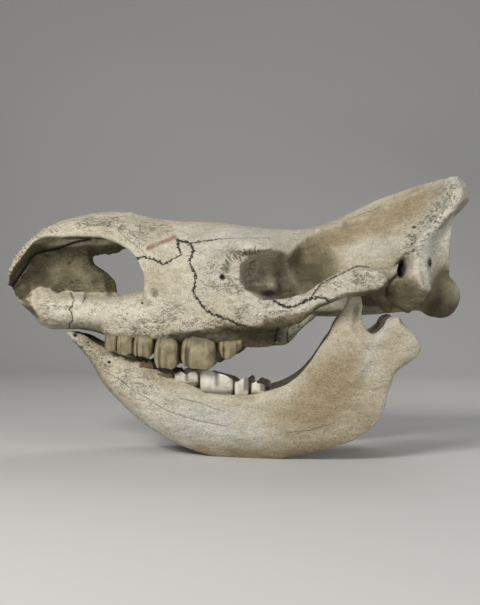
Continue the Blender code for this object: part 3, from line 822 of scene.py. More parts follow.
def orbit_combs():
    """Short strokes that fan out over the front of the orbit's upper rim, as lines of two pixels."""
    lines = []
    for number in range(11):
        share = number / 10
        foot = np.array((228.5 + 30 * share, 263.5 - 11.5 * share**0.8 + 0.8 * math.sin(number * 5.1)))
        lean = math.radians(-132 + 34 * share + 9 * math.sin(number * 3.7))
        length = 4.6 + 2.2 * math.sin(number * 2.3)
        tip = foot + length * np.array((math.cos(lean), math.sin(lean)))
        lines.append([tuple(foot), tuple(tip)])
    return lines


# The walls of the bones that marks lie on: least and most distance from the midline in millimetres, and how
# far the surface at least faces away from the midline, where 1 is straight out and -1.2 takes any surface
SIDE = (38,)
FLANK = (60,)
ARCH = (100,)
SEPTUM_SIDE = (2, 26, -0.3)
ROOF_UNDERSIDE = (2, 58, -0.9)
BRAINCASE_FRONT = (24, 104, -0.5)
PROW_SIDE = (6, 60, -0.1)
ORBIT_INSIDE = (10, 112, -1.2)
SOCKET_FLOOR = (16, 129, -1.2)
TEMPLE = (20, 105, -0.3)
TEMPLE_FRONT = (10, 118, -1.2)
JAW_SIDE = (12,)

# Soft bounds. Each measure has pairs of numbers, 0 at the first and 1 at the second: x, z and depth, which
# is the distance from the midline, are millimetres of the tables, column and row are pixels, the others say
# how a surface faces
BEHIND_ORBIT = {"x": [(60, 90)]}
BEFORE_TEMPLE = {"x": [(110, 90)]}
CONDYLES = {"x": [(310, 326)]}
SEPTUM_LENGTH = {"x": [(-240, -260)]}
PROW_LENGTH = {"x": [(-250, -270)]}
PROW_FRONT = {"depth": [(46, 40)], "row": [(272, 282)]}
PROW_END = -262
HORN_BOSS = {"x": [(-285, -330)], "up_out": [(0.0, 0.5)]}
NASAL_RIM = {"depth": [(14, 34)], "column": [(66, 56)], "up_front": [(0.3, 0.8)], "z": [(262, 276)]}
ORBIT_SPACE = {"x": [(100, 84), (0, 14)], "z": [(268, 286)]}
NOSE_INSIDE = {"depth": [(66, 56)], "x": [(-150, -190)], "z": [(352, 342)], "up_front": [(0.75, 0.35)]}
NOSE_BACK = {"x": [(-262, -250)], "z": [(322, 330)]}
FAR_RIM = {"outward": [(0.0, -0.4)], "x": [(-268, -250), (-140, -160)], "z": [(312, 322)],
           "depth": [(40, 60)]}
UNDERSIDE = {"up": [(-0.1, -0.7)]}
NAPE = {"x": [(300, 316)], "z": [(306, 286)]}
NAPE_LOW = {"x": [(310, 326)], "z": [(316, 300)]}
CHIN_RELIEF = {"x": [(-225, -265)]}
CHIN_DIRT = {"x": [(-170, -250)]}
JAW_UNDERSIDE = {"up": [(-0.2, -0.8)]}
JAW_INSIDE = {"outward": [(0.1, -0.4)]}

# Zones of the cranium that are rubbed smooth: passes, soft bounds
SOFTENED = {
    "shelf of the temple": (
        70, {"x": [(120, 150), (345, 325)], "z": [(268, 285), (440, 425)], "depth": [(40, 52), (150, 128)]}),
    "flank behind the orbit": (26, {"x": [(6, 30), (180, 160)], "depth": [(30, 42), (108, 96)],
                                    "z": [(232, 246)]}),
    "gums": (36, {"x": [(-176, -160), (60, 40)], "z": [(203, 211), (262, 246)],
                  "depth": [(54, 60), (112, 104)],
                  "outward": [(0.0, 0.3)]}),
    "brow": (40, {"x": [(-66, -50), (12, 2)], "z": [(312, 320), (360, 350)], "depth": [(66, 76)]}),
}

# Zones of the cranium that are rough: noises as height, size, seed and octaves, then soft bounds
ROUGHENED = {
    "tip of the snout": ([(1.4, 19, 31, 2), (0.5, 6, 33, 2)], {"x": [(-280, -296)], "z": [(285, 265)]}),
    "torn edge of the septum": (
        [(2.2, 8, 37, 2)], {"x": [(-262, -252), (-178, -186)], "depth": [(24, 16)], "z": [(318, 326)]}),
    "ear block": ([(0.8, 22, 41, 2)],
                  {"x": [(228, 240), (318, 300)], "z": [(312, 296)], "depth": [(78, 90)]}),
    "neck crest": ([(1.2, 11, 51, 3)], {"x": [(318, 340)], "z": [(408, 432)]}),
    "tooth sockets": ([(1.1, 8, 61, 3)], {"z": [(214, 200)], "x": [(-232, -222), (24, 8)]}),
}

# Lines of the side view that more than one table needs
EAR_GROOVE = [(400, 272), (392, 280), (387, 288), (387, 296)]
JAW_ANGLE = [(340, 449), (358, 441), (372, 432), (382, 415), (385, 398)]
LEDGE = [(140, 330), (175, 332), (215, 333), (255, 331), (290, 327)]
BRAINCASE_GLEAM = [(284, 260), (289, 271), (295, 283), (301, 296)]

# Patches. Each row: strength, wall, place and, for some, soft bounds. A place is a line and its width in
# millimetres, or the column, row, two radii in pixels and turn in degrees of a spot. Of relief, the
# strength is the height in millimetres
FACE_RELIEF = {
    "brow edge of the temple": (2.6, SIDE, ([(285, 262), (290, 252), (296, 245), (304, 238), (318, 232)], 5)),
    "upper edge of the temple": (1.2, SIDE,
                                 ([(318, 232), (334, 225), (350, 219), (380, 207), (420, 190)], 5)),
    "foot of the cheek": (2.2, (70,), ([(176, 331), (200, 328), (240, 327), (285, 324), (300, 321)], 7)),
    "hollow under the cheek": (-3.0, (70,), ([(190, 337), (215, 335), (250, 336), (285, 334)], 7)),
    "tear pit": (-3.0, SIDE, (226, 268, 4.5, 9, 25)),
    "pit above the orbit": (-3.5, SIDE, (281, 257, 5, 4)),
    "edge of the braincase": (3.0, BRAINCASE_FRONT, ([(284, 260), (290, 271), (297, 283), (304, 296)], 10)),
    "hollow before the braincase": (-3.0, BRAINCASE_FRONT, ([(275, 266), (279, 279), (284, 292)], 8)),
    "rim of the orbit": (1.8, SIDE, ([(239, 262), (238, 272), (240, 284), (248, 294), (260, 300)], 4)),
    "hollow at the nerve opening": (-2.8, SIDE, (152, 295.5, 4.5, 7.5)),
    "hollow of the septum": (-3.0, SEPTUM_SIDE, (44, 280, 8, 11, 20), SEPTUM_LENGTH),
    "front of the septum": (3.0, SEPTUM_SIDE, (27, 282, 7, 12, 30), SEPTUM_LENGTH),
    "middle of the septum": (2.0, SEPTUM_SIDE, (74, 280, 16, 10), SEPTUM_LENGTH),
    "crease under the roof": (-3.0, ROOF_UNDERSIDE, (ROOF_CREASE, 3.0)),
    "swelling of the prow": (3.0, PROW_SIDE, (42, 294, 9, 6), PROW_LENGTH),
    "hollow of the prow": (-2.0, PROW_SIDE, (57, 299, 5, 5), PROW_LENGTH),
}
BACK_RELIEF = {
    "hollow above the premolars": (-2.2, FLANK, (112, 318, 16, 5, 8)),
    "hollow behind the ear": (-3.0, FLANK, (437, 250, 8, 26, -8)),
    "back above the condyles": (-5.5, (), (455, 247, 9, 21), {"backward": [(0.0, 0.6)]}),
    "groove before the ear block": (-5.0, FLANK, (EAR_GROOVE, 4)),
    "swelling of the ear block": (3.0, FLANK, (400, 293, 9, 9)),
    "ridge of the ear block": (3.0, FLANK, ([(413, 256), (417, 270), (421, 288), (420, 300)], 5)),
    "hollow of the ear block": (-2.5, FLANK, (409, 288, 4, 12, -8)),
}
SEAM_RELIEF = {
    "nasal seam": (-0.6, SIDE, (NASAL_SEAM, 2.2)),
    "frontal seam": (-0.3, SIDE, (FRONTAL_SEAM[:4], 1.8)),
    "tear seam": (-0.3, SIDE, (TEAR_SEAM, 1.8)),
    "cheek seam": (-1.6, ARCH, (CHEEK_SEAM, 1.8)),
    "cheek branch": (-1.6, ARCH, (CHEEK_BRANCH, 1.8)),
    "temple seam": (-0.8, SIDE, (TEMPLE_SEAM, 1.7)),
    "snout seam": (-0.6, (15,), (SNOUT_SEAM, 1.8)),
    "palate crack, front": (-1.5, (30,), (PALATE_CRACKS[0], 1.5)),
    "palate crack, rear": (-1.5, (30,), (PALATE_CRACKS[1], 1.5)),
}
JAW_RELIEF = {
    "ridge below the joint": (2.6, JAW_SIDE,
                              ([(388, 322), (381, 334), (374, 347), (366, 362), (352, 380)], 8)),
    "hollow behind that ridge": (-3.0, JAW_SIDE, (396, 345, 8, 13, 20)),
    "hollow of the chewing muscle": (-4.0, JAW_SIDE, (338, 385, 26, 36, 25)),
    "hollow below the blade": (-2.5, JAW_SIDE, (357, 318, 5, 16, 8)),
    "thick edge of the angle": (1.8, JAW_SIDE, (JAW_ANGLE, 8)),
}
JAW_SWELLING = (2.0, JAW_SIDE, ([(105, 378), (130, 402), (170, 424), (230, 436), (290, 430)], 16))

# Pitted bone: depth, size and seed of the pits, the noise where they start and are full, then their patches
PITTED = {
    "brow": (1.6, 5.2, 91, (0.15, 0.55), {
        "above the orbit": (1.0, SIDE, (262, 251, 22, 5, -3)),
        "before the orbit": (1.0, SIDE, (240, 257, 9, 6, -35)),
    }),
    "neck crest": (2.0, 5.0, 81, (0.2, 0.6), {"band": (1.0, FLANK, (NUCHAL_BAND, 10))}),
}

# Which wall each seam is drawn on, in three widths
CRANIUM_SEAMS = {
    "seam": [(NASAL_SEAM, SIDE), (CHEEK_SEAM, ARCH), (PALATE_CRACKS[0], (30,))],
    "crack": [(FRONTAL_SEAM[:5], SIDE), (CHEEK_BRANCH, ARCH), (TEMPLE_SEAM, SIDE), (PALATE_CRACKS[1], (30,)),
              (SNOUT_SEAM, (15,))],
    "hair": [(FRONTAL_SEAM[4:], (30, 400, -0.2)), (TEAR_SEAM, SIDE), (CREST_LINE, (20, 400, -0.2)),
             *((line, SIDE) for line in ROOF_CRACKS)],
}
JAW_SEAMS = {"seam": [], "crack": [], "hair": [(line, JAW_SIDE) for line in (JAW_CRACK, *JAW_CRACKS)]}

# Stains, dirt, painted shade and painted light of the cranium, one group of patches for each layer that the
# bone's material reads
CRANIUM_MARKS = {
    "tan": {
        "orbit": (0.65, ORBIT_INSIDE, (262, 272, 24, 18)),
        "upper temple": (0.95, TEMPLE, (400, 212, 50, 17, -27), BEHIND_ORBIT),
        "front of the temple": (0.9, TEMPLE, (335, 236, 30, 13, -25), BEHIND_ORBIT),
        # Painted shade in tan: darker at the foot of the temple's front
        "foot of the temple": (0.8, TEMPLE, (310, 262, 20, 24), BEHIND_ORBIT),
    },
    "rust": {
        "stroke on the nose": (0.85, SIDE, ([(148, 248), (158, 244), (175, 237)], 4.2)),
        "behind the last molar": (1.0, (20,), (256, 346, 6, 4, -30)),
    },
    # Mostly painted shade: in the orbit's floor, in the recess of the jaw's joint, under the cheek and above
    # the teeth, on the lower part of the condyle and on the top of the nose; the ear block and the edge of
    # the snout are only made darker
    "grime_and_shade": {
        "front of the orbit's floor": (1.08, SOCKET_FLOOR, (251, 289, 12, 4, 4), BEFORE_TEMPLE),
        "middle of the orbit's floor": (1.62, SOCKET_FLOOR, (268, 292, 10, 6), BEFORE_TEMPLE),
        "rear of the orbit": (0.72, SOCKET_FLOOR, (279, 284, 5, 12, -20), BEFORE_TEMPLE),
        "joint of the jaw": (1.71, (40, 160, -1.2), (374, 299, 20, 10)),
        "behind the joint": (0.63, (40, 160, -1.2), (400, 292, 10, 14)),
        "above the teeth": (0.6, (50, 400, -0.3), (235, 334, 55, 6)),
        "ear block": (2.2, (70, 150), (404, 295, 19, 16)),
        "before the condyle": (0.9, (20, 90, -1.2), (435, 303, 14, 9)),
        "top of the nose": (0.3, (30,), (95, 220, 45, 9)),
        "edge of the cheek": (1.5, (50, 400, -0.2), ([(175, 337), (205, 337), (245, 336), (290, 331)], 10)),
        "edge of the snout": (1.3, (), ([(10, 285), (20, 296), (28, 306), (35, 317)], 6),
                              {"depth": [(70, 60)]}),
    },
    "specks": {
        "cheek": (0.75, SIDE, (285, 317, 55, 20)),
        "before the orbit": (0.5, SIDE, (232, 272, 26, 22)),
        "above the teeth": (0.5, SIDE, (215, 332, 60, 10)),
        "neck crest": (0.75, (50,), (NUCHAL_BAND, 14)),
        "snout": (0.3, SIDE, (60, 308, 26, 12)),
        "upper jaw": (0.25, SIDE, (135, 310, 60, 12)),
        "rear of the nose": (0.35, SIDE, (135, 225, 45, 12)),
        "top of the nose": (0.35, SIDE, (100, 222, 40, 8)),
        "arch": (0.5, ARCH, (350, 278, 40, 14)),
        "foot of the cheek": (0.8, (50,), ([(130, 328), (175, 332), (215, 334), (255, 332), (300, 326)], 14)),
    },
    "pale": {
        "upper jaw": (0.9, SIDE, (125, 306, 62, 17)),
        "snout": (0.6, SIDE, (58, 310, 26, 15)),
        "neck crest": (0.8, (30, 400, -0.3), ([(455, 180), (446, 205), (436, 225), (426, 262)], 16)),
        # Painted light: paler inside the orbit, on the condyle's rim and at the front of the temple
        "orbit": (0.7, ORBIT_INSIDE, (262, 271, 14, 13, 20)),
        "condyle": (0.4, (), (459, 288, 5, 14), CONDYLES),
        "front of the temple": (0.5, TEMPLE_FRONT, (303, 254, 8, 9)),
    },
    "cool": {
        "forehead": (0.9, SIDE, (240, 238, 60, 20)),
        "before the orbit": (0.7, SIDE, (214, 270, 20, 20)),
        "cheek": (0.6, SIDE, (300, 300, 60, 14)),
        "floor of the temple": (0.6, (20, 400, -0.3), (375, 246, 34, 10)),
        "neck crest": (1.1, (20, 400, -0.3), (440, 215, 15, 55, 20)),
    },
    # Painted shade: dark in the crease under the roof, in the groove before the ear block, in the ear opening
    # and in the orbit's floor
    "dark": {
        "crease under the roof": (0.8, ROOF_UNDERSIDE, (ROOF_CREASE, 2.2)),
        "groove before the ear block": (0.6, FLANK, (EAR_GROOVE, 2.2)),
        "ear": (1.0, (40, 100, -1.2), (400, 270, 6, 10, 25)),
        "orbit's floor": (0.75, (12, 131, -1.2), (268, 293, 9, 4)),
        "rear of the orbit": (0.45, (12, 131, -1.2), (279, 285, 3, 9, -20)),
    },
}
# Patches of painted shade, where specks are also denser: the arch's lower edge, the palate's sheet under the
# cheek and the tear pit
ARCH_EDGE = ((100, 400, -0.3), ([(268, 325), (300, 320), (320, 310), (336, 304)], 9))
PALATE_SHEET = ((20, 90), (272, 337, 26, 10))
TEAR_DIMPLE = (SIDE, (226, 266, 4, 7, 25))
JAW_MARKS = {
    "tan": {
        "hollow of the ramus": (1.1, JAW_SIDE, (334, 385, 28, 44, 30)),
        "below the last molar": (0.7, JAW_SIDE, (295, 418, 34, 20)),
        "below the premolars": (0.4, JAW_SIDE, (160, 380, 40, 9, 25)),
        "lower edge": (0.8, JAW_SIDE, ([(200, 450), (250, 455), (300, 452), (345, 444)], 14)),
        "angle": (0.5, JAW_SIDE, (372, 415, 20, 30, 20)),
        "behind the ramus": (0.35, JAW_SIDE, (388, 345, 14, 20)),
    },
    "rust": {"ramus": (0.3, JAW_SIDE, (335, 398, 10, 8))},
    "grime_and_shade": {"shadow of the arch": (0.9, JAW_SIDE, (356, 313, 5, 13, 8))},
    "specks": {"front half": (0.3, JAW_SIDE, (140, 385, 40, 20, 30))},
    "pale": {"front half": (0.5, JAW_SIDE, (150, 402, 40, 16, 35))},
    "cool": {
        "body": (1.1, JAW_SIDE, (205, 425, 66, 24, 10)),
        "neck of the joint": (0.9, JAW_SIDE, ([(386, 320), (375, 345), (366, 366)], 14)),
    },
}
PROW_FOOT = {"row": [(312, 298)]}
PROW_TIP = {"column": [(34, 28)]}
PROW_SWELL, PROW_SINK = 3.6, 2.6
RIB_HEIGHT = 2.8
COMB_DEPTH, COMB_WIDTH, COMB_SHADE_WIDTH = 1.3, 1.3, 1.2

# Noises of the bone's surface: height, size, seed and octaves
CRANIUM_GROWTH = [(0.9, 46, 3, 3), (0.4, 13, 9, 3)]
HORN_BOSS_NOISE = [(1.3, 9, 21, 3)]
LEDGE_NOISE = [(1.5, 10, 77, 3)]
CHEEK_NOISE = [(1.3, 9, 71, 3)]
JAW_GROWTH = [(0.8, 50, 5, 3), (0.3, 14, 15, 3)]
JAW_ANGLE_NOISE = [(0.8, 10, 25, 3)]
CHIN_NOISE = [(1.1, 10, 35, 3)]

# Changes of the painted shade inside the nose, spots where the painted shade is lifted by a share as painted
# light, and painted shade laid over all
NOSE_SHADE = {"middle of the septum": (-0.2, (), (72, 280, 17, 12)), "its hollow": (0.5, (), (43, 279, 7, 9))}
PAINTED_LIGHT_SPOTS = {
    "condyle": (0.5, (), (459, 288, 5, 14), CONDYLES),
    "front of the temple": (0.45, TEMPLE_FRONT, (304, 254, 9, 9)),
}
LAST_PAINTED_SHADE = {"cheek": (0.4, FLANK, (285, 322, 45, 9)), "top of the nose": (0.2, (30,), (110, 224, 40, 8))}
TEMPLE_SHADE = ((20, 118, -1.2), (308, 274, 26, 28, 20))
HOLLOW_PASSES, WIDE_HOLLOW_PASSES = 6, 60
LAYER_MOST = {"grime_and_shade": 2}


def noises(points, rows):
    """Sum of the noises of a table."""
    return sum(height * rough(points, size, seed, octaves) for height, size, seed, octaves in rows)


def nasal_ribs(skin):
    """Crooked ribs across the tip of the nose, with their tops and bottoms cut off."""
    across = skin.column - skin.row
    ribs = np.sin(across * 1.02 + 3.4 * lumps(skin.points, 24, 8)) * (0.7 + 0.5 * np.sin(across * 0.31 + 1))
    ribs = (ribs + 0.4 * np.sin(across * 1.7 + 0.6)) * (0.5 + 0.9 * lumps(skin.points, 8, 14))
    return np.clip(ribs, -0.7, 1)


def sink_pits(skin, depth, size, seed, edge, rows):
    """Sink pits of one size into the patches of a table."""
    skin.raise_by(-depth * skin.patches(rows) * step_between(lumps(skin.points, size, seed), *edge))


def sink_holes(skin, holes):
    """Sink the small openings of a table into the bone."""
    for column, row, across, along, deep, least in holes:
        skin.raise_by(-skin.wall(least, facing=-0.1) * deep * skin.spot(column, row, across, along))


def hole_shade(skin, holes):
    """Dark of the small openings of a table, a tenth wider than they are."""
    return sum(
        skin.wall(least, facing=-0.3) * skin.spot(column, row, across * 1.1, along * 1.1)
        for column, row, across, along, _, least in holes
    )


def store_marks(skin, marks):
    """Keep each layer of marks, from 0 to the most that the materials read."""
    for name, values in marks.items():
        skin.store(name, np.clip(values, 0, LAYER_MOST.get(name, 1)))


def shape_cranium(thing):
    """Work the melted cranium: growth bumps, seams, nerve openings, ridges, hollows and broken edges."""
    skin = Skin(thing)
    for passes, bounds in SOFTENED.values():
        skin.soften(skin.within(bounds), passes)
    skin.write()

    skin.raise_by(noises(skin.points, CRANIUM_GROWTH))
    skin.raise_by(skin.within(HORN_BOSS) * noises(skin.points, HORN_BOSS_NOISE))
    skin.raise_by(RIB_HEIGHT * skin.within(NASAL_RIM) * nasal_ribs(skin))
    for rows, bounds in ROUGHENED.values():
        skin.raise_by(skin.within(bounds) * noises(skin.points, rows))
    skin.write()

    skin.raise_by(skin.patches(FACE_RELIEF))
    upright = skin.within(PROW_FRONT) * (skin.places[:, 0] < PROW_END)
    above = above_prow(skin)
    skin.raise_by(PROW_SWELL * upright * (1 - above) * skin.within(PROW_FOOT))
    skin.raise_by(-PROW_SINK * upright * above * skin.within(PROW_TIP))
    skin.raise_by(skin.patch((52,), (LEDGE, 13)) * noises(skin.points * (0.6, 1, 1), LEDGE_NOISE))
    skin.raise_by(skin.wall(110) * noises(skin.points * (0.5, 1, 1), CHEEK_NOISE))
    skin.raise_by(skin.patches(BACK_RELIEF))
    skin.write()

    skin.raise_by(skin.patches(SEAM_RELIEF))
    for line in orbit_combs():
        skin.raise_by(-COMB_DEPTH * skin.patch(SIDE, (line, COMB_WIDTH)))
    sink_pits(skin, *PITTED["brow"])
    sink_holes(skin, SMALL_HOLES)
    sink_pits(skin, *PITTED["neck crest"])
    skin.points = hold_inside(skin.points)
    skin.write()


def mark_cranium(thing):
    """Keep where the cranium is stained, dirty, pitted, hollow or seamed, and where shade and light are
    painted on it.
    """
    skin = Skin(thing)
    seam_layers(skin, CRANIUM_SEAMS)
    marks = {name: skin.patches(rows) for name, rows in CRANIUM_MARKS.items()}
    # The orbit's inside is kept lighter: it is spared the painted shade of hollows and undersides
    orbit = skin.wall(*ORBIT_INSIDE) * skin.within(ORBIT_SPACE)
    # How far the surface lies below its smoothed form: small creases and wide hollows get painted shade from
    # it, and ridges look worn
    skin.store("hollow", skin.hollowness(HOLLOW_PASSES))
    skin.store("wide_hollow_shade", skin.hollowness(WIDE_HOLLOW_PASSES) * (1 - orbit))
    # Painted shade inside the nose, below the nasal roof, uneven and lighter on the middle of the septum
    nose = skin.within(NOSE_INSIDE) * above_prow(skin)
    nose = nose * (1 + 0.3 * rough(skin.points, 20, 5) + skin.patches(NOSE_SHADE))
    # Painted shade on the front of the temple, left lighter along the braincase's edge
    temple = 2.0 * skin.patch(*TEMPLE_SHADE) * (1 - 0.45 * skin.stroke(BRAINCASE_GLEAM, 6))
    arch_edge = skin.patch(*ARCH_EDGE)
    sheet = skin.patch(*PALATE_SHEET)
    dimple = skin.patch(*TEAR_DIMPLE)
    # Painted shade: inside the nose, on undersides, low at the back of the skull, on the inner face of the
    # nose's far rim, deeper in the nose, along the arch's lower edge, on the palate's sheet and in the tear
    # pit
    grime_and_shade = marks["grime_and_shade"] + temple + (1.45 * nose + 0.7 * skin.within(UNDERSIDE)) * (1 - 0.8 * orbit)
    grime_and_shade = grime_and_shade + 0.6 * skin.within(NAPE) + 0.55 * skin.within(NAPE_LOW) + 1.4 * skin.within(FAR_RIM)
    grime_and_shade = grime_and_shade + 0.6 * nose * skin.within(NOSE_BACK) + 1.5 * arch_edge + 1.1 * sheet + 0.9 * dimple
    # Painted light: the painted shade is lifted on the condyle's rim and at the front of the temple
    for share, *row in PAINTED_LIGHT_SPOTS.values():
        grime_and_shade = grime_and_shade * (1 - share * skin.patch(*row))
    # More painted shade under the cheek and on the top of the nose
    marks["grime_and_shade"] = grime_and_shade + skin.patches(LAST_PAINTED_SHADE)
    marks["specks"] = marks["specks"] + 0.12 + 0.4 * nose + dimple + 0.6 * sheet + 0.5 * arch_edge
    combs = sum(skin.patch(SIDE, (line, COMB_SHADE_WIDTH)) for line in orbit_combs())
    marks["dark"] = marks["dark"] + hole_shade(skin, SMALL_HOLES) + 0.6 * combs
    store_marks(skin, marks)


def shape_mandible(thing):
    """Work the melted jaw: muscle hollows, the ridge below the joint, the rough angle, cracks and
    openings."""
    skin = Skin(thing)
    skin.raise_by(noises(skin.points, JAW_GROWTH))
    skin.raise_by(skin.patches(JAW_RELIEF))
    skin.raise_by(skin.patch(JAW_SIDE, (JAW_ANGLE, 12)) * noises(skin.points, JAW_ANGLE_NOISE))
    skin.raise_by(skin.patches({"lower edge": JAW_SWELLING}))
    skin.raise_by(skin.within(CHIN_RELIEF) * noises(skin.points, CHIN_NOISE))
    skin.write()
    skin.raise_by(-0.7 * skin.patch(JAW_SIDE, (JAW_CRACK, 1.3)))
    sink_holes(skin, JAW_HOLES)
    skin.write()


def mark_mandible(thing):
    """Keep where the jaw is stained, dirty, pitted, hollow or cracked, and where shade is painted on it."""
    skin = Skin(thing)
    seam_layers(skin, JAW_SEAMS)
    # Small creases and wide hollows, for painted shade and worn ridges
    skin.store("hollow", skin.hollowness(HOLLOW_PASSES))
    skin.store("wide_hollow_shade", skin.hollowness(WIDE_HOLLOW_PASSES))
    marks = {name: skin.patches(rows) for name, rows in JAW_MARKS.items()}
    chin = skin.within(CHIN_DIRT)
    # Painted shade on the jaw's underside and on its inward face, and dirt on the chin
    dirt_and_shade = 0.5 * skin.within(JAW_UNDERSIDE) + 0.55 * chin + 0.25 * skin.within(JAW_INSIDE)
    marks["grime_and_shade"] = np.clip(marks["grime_and_shade"] + dirt_and_shade, 0, 1)
    marks["specks"] = marks["specks"] + 0.1 + 0.35 * chin
    marks["dark"] = hole_shade(skin, JAW_HOLES)
    store_marks(skin, marks)


class Value:
    """One number that runs through a material's nodes, so that shader maths reads as Python."""

    def __init__(self, web, socket):
        self.web = web
        self.socket = socket

    def math(self, operation, *others):
        """A Math node on this value and the others, in that order."""
        return self.web.node("ShaderNodeMath", {"operation": operation}, dict(enumerate((self, *others))))

    def __add__(self, other):
        return self.math("ADD", other)

    __radd__ = __add__

    def __sub__(self, other):
        return self.math("SUBTRACT", other)

    def __rsub__(self, other):
        return self.web.node("ShaderNodeMath", {"operation": "SUBTRACT"}, {0: other, 1: self})

    def __mul__(self, other):
        return self.math("MULTIPLY", other)

    __rmul__ = __mul__

    def __truediv__(self, other):
        return self.math("DIVIDE", other)

    def __rtruediv__(self, other):
        return self.web.node("ShaderNodeMath", {"operation": "DIVIDE"}, {0: other, 1: self})

    def __pow__(self, other):
        return self.math("POWER", other)

    def size(self):
        """The value without its sign."""
        return self.math("ABSOLUTE")

    def between(self, low, high):
        """0 at low and 1 at high with a smooth rise between, held outside them."""
        settings = {"interpolation_type": "SMOOTHSTEP"}
        return self.web.node("ShaderNodeMapRange", settings,
                             {"Value": self, "From Min": low, "From Max": high})


class Web:
    """The node tree of one new material, with one method that adds any node."""

    def __init__(self, name):
        self.material = bpy.data.materials.new(name)
        self.material.use_nodes = True
        self.tree = self.material.node_tree
        self.shader = self.tree.nodes["Principled BSDF"]
        self.place = self.node("ShaderNodeTexCoord", {}, {}, "Object")

    def put(self, socket, value):
        """Link a value to a socket, or set it there."""
        if isinstance(value, Value):
            self.tree.links.new(value.socket, socket)
        else:
            socket.default_value = value

    def node(self, kind, settings, inputs, output=0):
        """Add a node: its settings first, then its sockets' values or links."""
        made = self.tree.nodes.new(kind)
        for name, value in settings.items():
            setattr(made, name, value)
        for name, value in inputs.items():
            self.put(made.inputs[name], value)
        return Value(self, made.outputs[output])

    def noise(self, scale, detail=3.0, roughness=0.55, stretch=(1, 1, 1), where=None):
        """Cloudy noise from 0 to 1, on object coordinates that may be stretched."""
        place = where or self.place
        if stretch != (1, 1, 1):
            place = self.node("ShaderNodeMapping", {}, {"Vector": place, "Scale": stretch})
        values = {"Vector": place, "Scale": scale, "Detail": detail, "Roughness": roughness}
        return self.node("ShaderNodeTexNoise", {}, values, 0)

    def layer(self, name):
        """A number that the mesh keeps at its vertices."""
        return self.node("ShaderNodeAttribute", {"attribute_name": name}, {}, "Fac")

    def mix(self, factor, first, second, blend="MIX"):
        """Colour between two colours."""
        made = self.tree.nodes.new("ShaderNodeMix")
        made.data_type = "RGBA"
        made.blend_type = blend
        made.clamp_factor = True
        self.put(made.inputs["Factor"], factor)
        self.put(made.inputs[6], first)
        self.put(made.inputs[7], second)
        return Value(self, made.outputs[2])

    def bump(self, height, distance, strength=1.0, under=None):
        """Normal from a height field, on top of another normal where one is given."""
        values = {"Height": height, "Distance": distance, "Strength": strength}
        if under is not None:
            values["Normal"] = under
        return self.node("ShaderNodeBump", {}, values)


